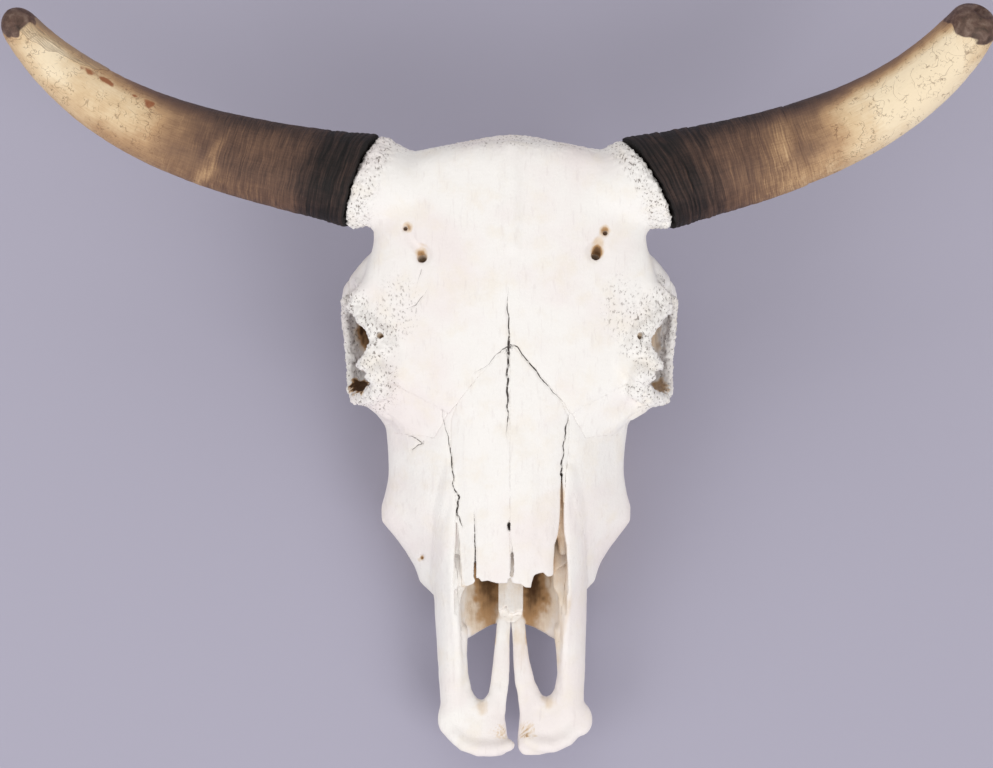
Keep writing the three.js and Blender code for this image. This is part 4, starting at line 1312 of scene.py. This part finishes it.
        # The corners at a seam come up to the surface, so that the bones meet without a groove
        depth = self.grid.sample(self.whole, points)
        points = points - normal * (depth * fade(depth, -1.4, -0.8))[:, None]
        beaded, pitted = self.roughness(points)
        across, half = self.cracks(points)
        lift = 0.28 * swell(points, 34, 3, 2) + 0.12 * swell(points, 7, 5, 2)
        rough = np.nonzero(beaded > 0.02)[0]
        near = points[rough]
        grains = np.clip(0.6 - beads(near, 3.0, 11), -0.25, 1) * 2.0
        lift[rough] += beaded[rough] * (grains + 0.9 * swell(near, 3.2, 23, 2) - 0.3)
        porous = np.nonzero((pitted > 0.05) & (beaded <= 0.5))[0]
        pits = np.clip(0.42 - beads(points[porous], 4.4, 61), 0, 1) * 2.4
        lift[porous] -= pitted[porous] * pits * 0.8
        lift -= 1.4 * np.clip(half * 2.2, 0, 1) * fade(np.abs(across), 1.4, 0.2)
        # Painted shade in creases, and between the beads where the grains are low
        crease = np.clip((self.grid.sample(self.crease, points) - 0.5) * 3.2, 0, 1)
        crease[rough] += beaded[rough] * np.clip(0.2 - grains * 0.5, 0, 0.4)
        # Brown in broadly enclosed hollows, as earth stain and painted shade
        recess = self.coarse.sample(self.recess, points)
        marks = {
            "hollow": fade(recess, 0.6, 0.92),
            "crevice_shade": crease,
            "porous": pitted,
            "stain": self.stains_and_painted_shade(points),
            "across": across,
            "half": half,
        }
        return points + normal * lift[:, None], marks

    def draw(self) -> dict[str, bpy.types.Object]:
        """Parts the field between the bones and draws each as a closed mesh."""
        far = self.REACH * 2
        first = np.full(self.grid.shape, far, np.float32)
        second = first.copy()
        owner = np.full(self.grid.shape, 255, np.uint8)
        rough = np.random.default_rng(7)
        warped = {}
        for number, bone in enumerate(self.bones.values()):
            size = [w.stop - w.start for w in bone.window]
            lumps = rough.uniform(-1, 1, [s // 4 + 3 for s in size]).astype(np.float32)
            values = bone.values + self.WAVER * stretched(lumps, size, 4.0)
            warped[bone.name] = values
            held, next_best = first[bone.window], second[bone.window]
            better = values < held
            second[bone.window] = np.where(better, held, np.minimum(next_best, values))
            first[bone.window] = np.where(better, values, held)
            owner[bone.window] = np.where(better, number, owner[bone.window])
        pieces = {}
        for number, bone in enumerate(self.bones.values()):
            w = bone.window
            others = np.where(owner[w] == number, second[w], first[w])
            own = np.maximum(self.whole[w], (warped[bone.name] - others) / 2 - self.OVERLAP)
            points, quads = self.grid.surface(walled(own), w)
            points, marks = self.dressed(points)
            piece = new_mesh(f"{bone.name}_surface", self.space.to_row(points), quads[:, ::-1])
            for name, values in marks.items():
                set_attribute(piece, name, values)
            piece.data.set_sharp_from_angle(angle=self.SHARP)
            pieces[bone.name] = piece
        return pieces

    def build(self) -> None:
        """Makes every bone with its material and lets it stand for its own solid."""
        self.read_solids()
        self.round_off()
        for step in (self.sockets, self.forehead, self.nose, self.jaws, self.measure):
            step()
            log.info("shaped: %s", step.__name__)
        finish = BleachedBone().make()
        for name, piece in self.draw().items():
            piece.data.materials.append(finish)
            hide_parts(name)
            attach(piece, "root")
            log.info("%s: %d faces", piece.name, len(piece.data.polygons))


# Teeth


GUM_HEIGHT = 24.0
FIRST_TOOTH = 150.0
TOOTH_GAP = 0.6
ROW_MIDDLE = ((150, 60), (200, 68), (250, 70), (285, 66))


@dataclass(frozen=True)
class ToothPlan:
    """One cheek tooth: its size along and across the row, and its lobes."""

    length: float
    width: float
    lobes: int


TOOTH_PLANS = (
    ToothPlan(15, 13, 1),
    ToothPlan(18, 17, 1),
    ToothPlan(19, 20, 1),
    ToothPlan(25, 23, 2),
    ToothPlan(28, 24, 2),
    ToothPlan(29, 22, 2),
)


@dataclass(frozen=True)
class ToothRow:
    """The six cheek teeth of one side, worn flat, each with its folds of enamel."""

    space: SkullSpace
    side: int

    ROOT_HEIGHT = 33.0
    STEP = 0.75

    def crown(self, plan: ToothPlan, start: float) -> tuple[Array, Array, Array]:
        """Draws one tooth.

        Args:
            plan: The tooth's sizes.
            start: Where it begins along the row.

        Returns:
            Its corners in millimetres, its faces and how stained each corner is.
        """
        middle = start + plan.length / 2
        centre = self.side * float(through(np.array([middle]), ROW_MIDDLE)[0])
        half_across = plan.width / 2
        low = np.array([centre - half_across - 3, start - 3, -3.0])
        high = np.array([centre + half_across + 3, start + plan.length + 3, self.ROOT_HEIGHT + 3])
        grid = DistanceGrid(low, high, self.STEP)
        every = tuple(slice(0, n) for n in grid.shape)
        x, y, z = grid.places(every)
        u = (x - centre) * self.side  # towards the cheek
        v = y - middle
        pitch = plan.length / plan.lobes
        body = None
        folds = None
        for lobe in range(plan.lobes):
            v_lobe = v - (lobe - (plan.lobes - 1) / 2) * pitch
            reach = pitch / 2 + 0.4
            round_ = (np.abs(u / half_across) ** 2.8 + np.abs(v_lobe / reach) ** 2.8) ** (1 / 2.8)
            shape = (round_ - 1) * min(half_across, reach)
            rib = np.hypot(u - half_across * 0.86, v_lobe - reach * 0.55) - 2.0
            shape = blended(shape, rib, 1.2)
            body = shape if body is None else blended(body, shape, 1.4)
            for bow, offset in ((0.9, 0.18), (-0.9, -0.34)):
                arc = u - half_across * offset - bow * 0.09 * v_lobe**2 / max(reach, 1) * 2
                crescent = np.maximum(np.abs(arc) - 0.9, np.abs(v_lobe) - reach * 0.62)
                folds = crescent if folds is None else np.minimum(folds, crescent)
        body = body - 0.35 * np.sin(v * 2.1) * fade(u, 0, half_across)
        narrowed = 0.45 * np.maximum(z - 20, 0)  # the roots draw in above the gum
        values = np.maximum(body + narrowed, np.maximum(-z, z - self.ROOT_HEIGHT))
        values = -blended(-values, np.maximum(folds, z - 2.6) + 0 * z, 0.5)
        points, quads = grid.surface(walled(values.astype(np.float32)), every)
        points[:, 2] = np.maximum(points[:, 2], 0.02)
        inner = np.maximum(fade(points[:, 2], 14, 30), fade(points[:, 2], 2.2, 0.6) * 0.9)
        streaks = np.clip(0.55 + 0.5 * swell(points, 5, 71, 2), 0, 1.2)
        return points, quads[:, ::-1], inner * streaks + 0.15

    def build(self, finish: bpy.types.Material) -> None:
        """Builds the row as one piece."""
        start = FIRST_TOOTH
        points, faces, worn, count = [], [], [], 0
        for plan in TOOTH_PLANS:
            corner, quads, stain = self.crown(plan, start)
            points.append(corner)
            faces.append(quads + count)
            worn.append(stain)
            count += len(corner)
            start += plan.length + TOOTH_GAP
        name = next(key for key, value in SIDES.items() if value == self.side)
        places = self.space.to_row(np.vstack(points))
        row = new_mesh(f"cheek_teeth_{name}", places, np.vstack(faces))
        set_attribute(row, "worn", np.concatenate(worn))
        row.data.materials.append(finish)
        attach(row, "root")
        log.info("%s: %d faces", row.name, len(row.data.polygons))


# Horns


@dataclass(frozen=True)
class HornSheath:
    """One horn's sheath: ringed and frayed at the root, worn smooth beyond, blunt at the tip."""

    space: SkullSpace
    name: str
    plan: HornPlan

    NEAR_ROOT = 240
    SPANS = 450
    AROUND = 176
    SLANT_SHARE = 0.24
    FLATNESS = 0.96
    GAP = 0.3

    @property
    def left(self) -> bool:
        """Whether this is the horn on the viewer's left."""
        return self.plan.side < 0

    def radius(self, shares: Array) -> Array:
        """Gives the horn's radius, rounded off at the tip."""
        start, bluntness = self.plan.rounding
        beyond = np.clip((shares - start) / (1 - start), 0, 1)
        remaining = np.sqrt(np.maximum(1 - bluntness * beyond**2.2, 0.0))
        return through(shares, self.plan.girth) * remaining

    def rings(self, arc: Array) -> Array:
        """Gives the height of the growth rings at distances along the horn."""
        draw = np.random.default_rng(19 + self.plan.side)
        total = np.zeros_like(arc)
        sets = ((5.6, 0.85, 1.5, 52.0), (12.0, 0.5, 1.6, 120.0), (2.2, 0.2, 2.2, 150.0))
        for pitch, height, crisp, reach in sets:
            places = np.cumsum(draw.uniform(0.55, 1.45, int(180 / pitch)) * pitch) - pitch
            tall = draw.uniform(0.4, 1.3, len(places)) * height
            nearest = np.searchsorted(places, arc).clip(1, len(places) - 1)
            u = np.clip((arc - places[nearest - 1]) / (places[nearest] - places[nearest - 1]), 0, 1)
            ridge = tall[nearest] * (np.sin(u * math.pi) ** (1 / crisp) - 0.6)
            total += ridge * fade(arc, reach, reach * 0.6)
        return total

    def paleness(self, share: Array, rear: Array, over: Array) -> Array:
        """Gives how pale the horn is, from 0 for black to 1 for cream.

        The underside is darker as painted shade, and the sides are partly so.

        Args:
            share: How far along the horn, from 0 to 1.
            rear: 1 on the side towards the poll and -1 on the side towards the nose.
            over: 1 on the upper side and -1 underneath.

        Returns:
            The paleness at each place.
        """
        share = np.clip(share, 0, 1)
        lines = (self.plan.crown, self.plan.behind, self.plan.before)
        middle, far, near = (through(share, line) for line in lines)
        pale = middle + (far - middle) * fade(rear, 0.25, 0.97)
        pale = pale + (near - middle) * fade(rear, -0.35, -0.98)
        # Painted shade: the underside is darker
        return pale - 0.1 * fade(over, 0.1, -0.6)

    def flake(self, share: Array, rear: Array, flat: Array) -> Array:
        """Gives where a grey layer still clings to the rear side of the left horn, near its tip."""
        if not self.left:
            return np.zeros_like(share)
        edge = through(share, [(0.7, 0.86), (0.76, 0.62), (0.82, 0.44), (0.88, 0.16), (0.95, -0.2)])
        ragged = 0.09 * swell(flat, 11, 93, 3).reshape(share.shape)
        return fade(rear - edge + ragged, -0.03, 0.04) * fade(share + 0.1 * ragged, 0.7, 0.712)

    def rust(self, share: Array, turn: Array, flat: Array) -> Array:
        """Gives the rust-coloured marks on the left horn."""
        total = np.zeros_like(share)
        if not self.left:
            return total
        # The place and the angle round the horn of each mark, and its half-sizes in both
        marks = (
            (0.755, 62, 0.02, 9), (0.705, 60, 0.032, 7), (0.62, 62, 0.02, 6),
            (0.565, 64, 0.022, 10),
        )  # fmt: skip
        ragged = 0.55 * swell(flat, 7, 95, 3).reshape(share.shape)
        for at, angle, long, wide in marks:
            gap = np.hypot((share - at) / long, (np.degrees(turn)[None, :] - angle) / wide)
            total = np.maximum(total, fade(gap + ragged, 1.5, 0.2))
        return total

    def build(self, finish: bpy.types.Material) -> None:
        """Builds the sheath and lets it stand for its solid."""
        plan = self.plan
        outer = np.linspace(0.4, 1, self.SPANS - self.NEAR_ROOT + 1)
        shares = np.concatenate([np.linspace(0, 0.4, self.NEAR_ROOT)[:-1], outer])
        way = plan.way(shares)
        centre = plan.line(shares) + self.GAP * plan.way(np.array([0.0]))
        across = np.cross(way, np.array([0.0, 0.0, 1.0]))
        across /= np.linalg.norm(across, axis=1, keepdims=True)
        above = np.cross(across, way)
        turn = np.linspace(-math.pi / 2, 1.5 * math.pi, self.AROUND, endpoint=False)
        radius = self.radius(shares)
        lean = math.tan(math.radians(plan.slant)) * np.clip(1 - shares / self.SLANT_SHARE, 0, 1)
        cosine, sine = np.cos(turn)[None, :], np.sin(turn)[None, :]
        outward = across[:, None] * cosine[..., None]
        outward = outward + above[:, None] * sine[..., None] * self.FLATNESS
        push = plan.side * cosine * (radius * lean)[:, None]
        base = centre[:, None] + outward * radius[:, None, None] + way[:, None] * push[..., None]
        flat = base.reshape(-1, 3)
        share = shares[:, None] + 0 * cosine

        def uneven(size: float, seed: int, octaves: int = 2) -> Array:
            """Smooth unevenness over the horn, in humps of the size given."""
            return swell(flat, size, seed, octaves).reshape(share.shape)

        arc = share * plan.length + 1.3 * uneven(30, 81) + 0.5 * uneven(9, 83)
        ringed = fade(share + 0.05 * uneven(26, 85), 0.56, 0.3)
        lift = self.rings(arc) + 0.35 * uneven(46, 87) * fade(share, 0.1, 0.3)
        lift += 0.14 * uneven(5, 89)
        rear = cosine * -plan.side + 0 * share
        flake = self.flake(share, rear, flat)
        lift += 0.7 * flake
        for at, deep in plan.grooves:
            place = (share - at + 0.006 * uneven(24, 97)) * plan.length
            step = 0.6 * fade(place, 0, 1) * fade(place, 14, 2)
            lift -= deep * (np.exp(-((place / 0.8) ** 2)) + step)
        places = base + outward * lift[..., None]
        fray = 0.9 * swell(flat[: self.AROUND], 6, 99, 3) + 0.4
        places[0] += way[0] * fray[:, None]
        start = share + 0.03 * uneven(40, 101)
        pale = self.paleness(start, rear, sine + 0 * share)
        # Paleness follows the relief: ring banding, and painted shade in grooves and dips
        pale += np.clip(lift, -1.2, 0.8) * (0.12 * fade(share, 0.3, 0.1) + 0.03)
        if self.left:
            beside_line = (start - 0.345 + 0.02 * rear) / 0.014
            pale += 0.16 * np.exp(-(beside_line**2)) * fade(rear, 0.4, -0.1)
        tip = fade(share + 0.014 * uneven(9, 91) + 0.012 * rear, plan.cap, plan.cap + 0.022)
        points, faces = self.ends(places, way)
        faces = np.vstack([self.skin(), faces])
        horn = new_mesh(f"{self.name}_surface", self.space.to_row(points), faces)
        extra = len(points) - places[..., 0].size
        # What the material reads, and its value on the worn end
        carried = {
            "pale": (pale, 0.3),
            "tip": (tip, 1.0),
            "ringed": (ringed, 0.0),
            "flake": (flake, 0.0),
            "rust": (self.rust(share, turn, flat), 0.0),
        }
        for name, (values, last) in carried.items():
            first = float(values[0].mean())
            whole = [values.ravel(), [first], np.full(extra - 1, last)]
            set_attribute(horn, name, np.concatenate(whole))
        spread = 34.0 * np.concatenate([cosine, sine], axis=0).T[None] + 0 * share[..., None]
        straight = np.concatenate([arc[..., None], spread], axis=-1).reshape(-1, 3)
        straight = np.vstack([straight, points[places[..., 0].size :]])
        carrier = horn.data.attributes.new("straight", "FLOAT_VECTOR", "POINT")
        carrier.data.foreach_set("vector", straight.astype(np.float32).ravel())
        horn.data.materials.append(finish)
        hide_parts(self.name)
        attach(horn, "root")
        log.info("%s: %d faces", horn.name, len(horn.data.polygons))

    def skin(self) -> Array:
        """Gives the faces between the rings, wound to face outwards."""
        ring = np.arange(self.AROUND)
        rows = np.arange(self.SPANS - 1)[:, None] * self.AROUND
        a, b = rows + ring, rows + (ring + 1) % self.AROUND
        return np.stack([a, b, b + self.AROUND, a + self.AROUND], axis=-1).reshape(-1, 4)

    def ends(self, places: Array, way: Array) -> tuple[Array, Array]:
        """Closes the root with a flat face and the tip with a worn pit.

        Args:
            places: The rings' corners.
            way: The horn's heading at each ring.

        Returns:
            All corners, and the faces that join the added ones to the first and the last ring.
        """
        ring = np.arange(self.AROUND)
        after = (ring + 1) % self.AROUND
        total = places[..., 0].size
        last = places[-1]
        middle = last.mean(axis=0)
        depth = self.plan.pit
        added = [places[0].mean(axis=0)[None]]
        faces = [np.stack([np.full_like(ring, total), after, ring, ring], axis=1)]
        previous, made = total - self.AROUND, total + 1
        for share, drop in ((0.9, -0.1), (0.8, -0.05), (0.68, 0.3), (0.55, 0.85), (0.25, 1.0)):
            added.append(middle + (last - middle) * share - way[-1] * depth * drop)
            corners = (previous + ring, previous + after, made + after, made + ring)
            faces.append(np.stack(corners, axis=1))
            previous, made = made, made + self.AROUND
        added.append((middle - way[-1] * depth)[None])
        point = np.full_like(ring, made)
        faces.append(np.stack([previous + ring, previous + after, point, point], axis=1))
        return np.vstack([places.reshape(-1, 3), *added]), np.vstack(faces)


@dataclass
class Studio:
    """The plain floor, the soft lights and the camera of the photograph."""

    space: SkullSpace
    aim: Point = (-11.07, 295.0, 130.0)
    distance: float = 2400.0
    elevation: float = 80.0
    scale: float = 0.82  # millimetres for each pixel at the aim's depth
    photo_width: int = 993
    sensor: float = 36.0
    ground: str = "#ACA9BA"
    sky: str = "#FAF8F8"
    glow: float = 0.63
    # Each lamp's name, place and width in metres, and its watts
    lamps: tuple[tuple[str, Point, float, float], ...] = (
        ("key", (2.3, -2.8, 2.9), 2.7, 86.0),
        ("fill", (-2.4, -1.6, 1.6), 2.0, 32.0),
        ("rear", (-0.5, 2.7, 2.0), 2.4, 17.0),
    )

    def camera(self) -> None:
        """Looks down on the skull from in front, as the photograph does."""
        tilt = math.radians(self.elevation)
        aim = self.space.to_row(np.array(self.aim))
        back = np.array([0.0, -math.cos(tilt), math.sin(tilt)]) * self.distance * MM
        data = bpy.data.cameras.new("camera")
        data.sensor_width = self.sensor
        data.lens = self.sensor * self.distance / (self.photo_width * self.scale)
        data.clip_end = 20.0
        camera = bpy.data.objects.new("camera", data)
        camera.location = aim + back
        camera.rotation_euler = (math.pi / 2 - tilt, 0.0, 0.0)
        bpy.context.scene.collection.objects.link(camera)
        bpy.context.scene.camera = camera

    def floor(self) -> None:
        """Lays a plain pale sheet under the skull."""
        half = 6.0
        points = np.array([(-half, -half, 0), (half, -half, 0), (half, half, 0), (-half, half, 0)])
        floor = new_mesh("floor", points, np.array([[0, 1, 2, 3]]), smooth=False)
        n = Node("Paper, pale")
        n.fix(Base_Color=linear(self.ground), Roughness=0.9)
        floor.data.materials.append(n.material)

    def lamp(self, name: str, place: Point, size: float, power: float) -> None:
        """Hangs one square soft light that faces the skull."""
        data = bpy.data.lights.new(name, "AREA")
        data.size, data.energy = size, power
        lamp = bpy.data.objects.new(name, data)
        lamp.location = place
        towards = Vector((0, 0, 0.1)) - Vector(place)
        lamp.rotation_euler = towards.to_track_quat("-Z", "Y").to_euler()
        bpy.context.scene.collection.objects.link(lamp)

    def lights(self) -> None:
        """Sets a broad key from the near right, two weaker lamps and pale surroundings."""
        for name, place, size, power in self.lamps:
            self.lamp(name, place, size, power)
        world = bpy.data.worlds.new("surroundings")
        bpy.context.scene.world = world
        world.use_nodes = True
        sky = world.node_tree.nodes["Background"]
        sky.inputs["Color"].default_value = linear(self.sky)
        sky.inputs["Strength"].default_value = self.glow
        view = bpy.context.scene.view_settings
        view.view_transform = "Standard"
        view.look = "None"

    def build(self) -> None:
        """Sets everything up."""
        self.camera()
        self.floor()
        self.lights()


def main() -> None:
    """Builds the studio, the bones, the teeth and the horns in that order."""
    logging.basicConfig(level=logging.INFO, format="%(message)s")
    space = SkullSpace.of_frame()
    Studio(space).build()
    low, high = (np.array(corner) for corner in FIELD_BOX)
    Skull(space, *(DistanceGrid(low, high, step) for step in (FINE_STEP, COARSE_STEP))).build()
    enamel = ToothEnamel().make()
    for side in SIDES.values():
        ToothRow(space, side).build(enamel)
    keratin = HornKeratin("Horn keratin, weathered").make()
    for name, plan in HORN_PLANS.items():
        HornSheath(space, f"horn_{name}", plan).build(keratin)


if __name__ == "__main__":
    main()
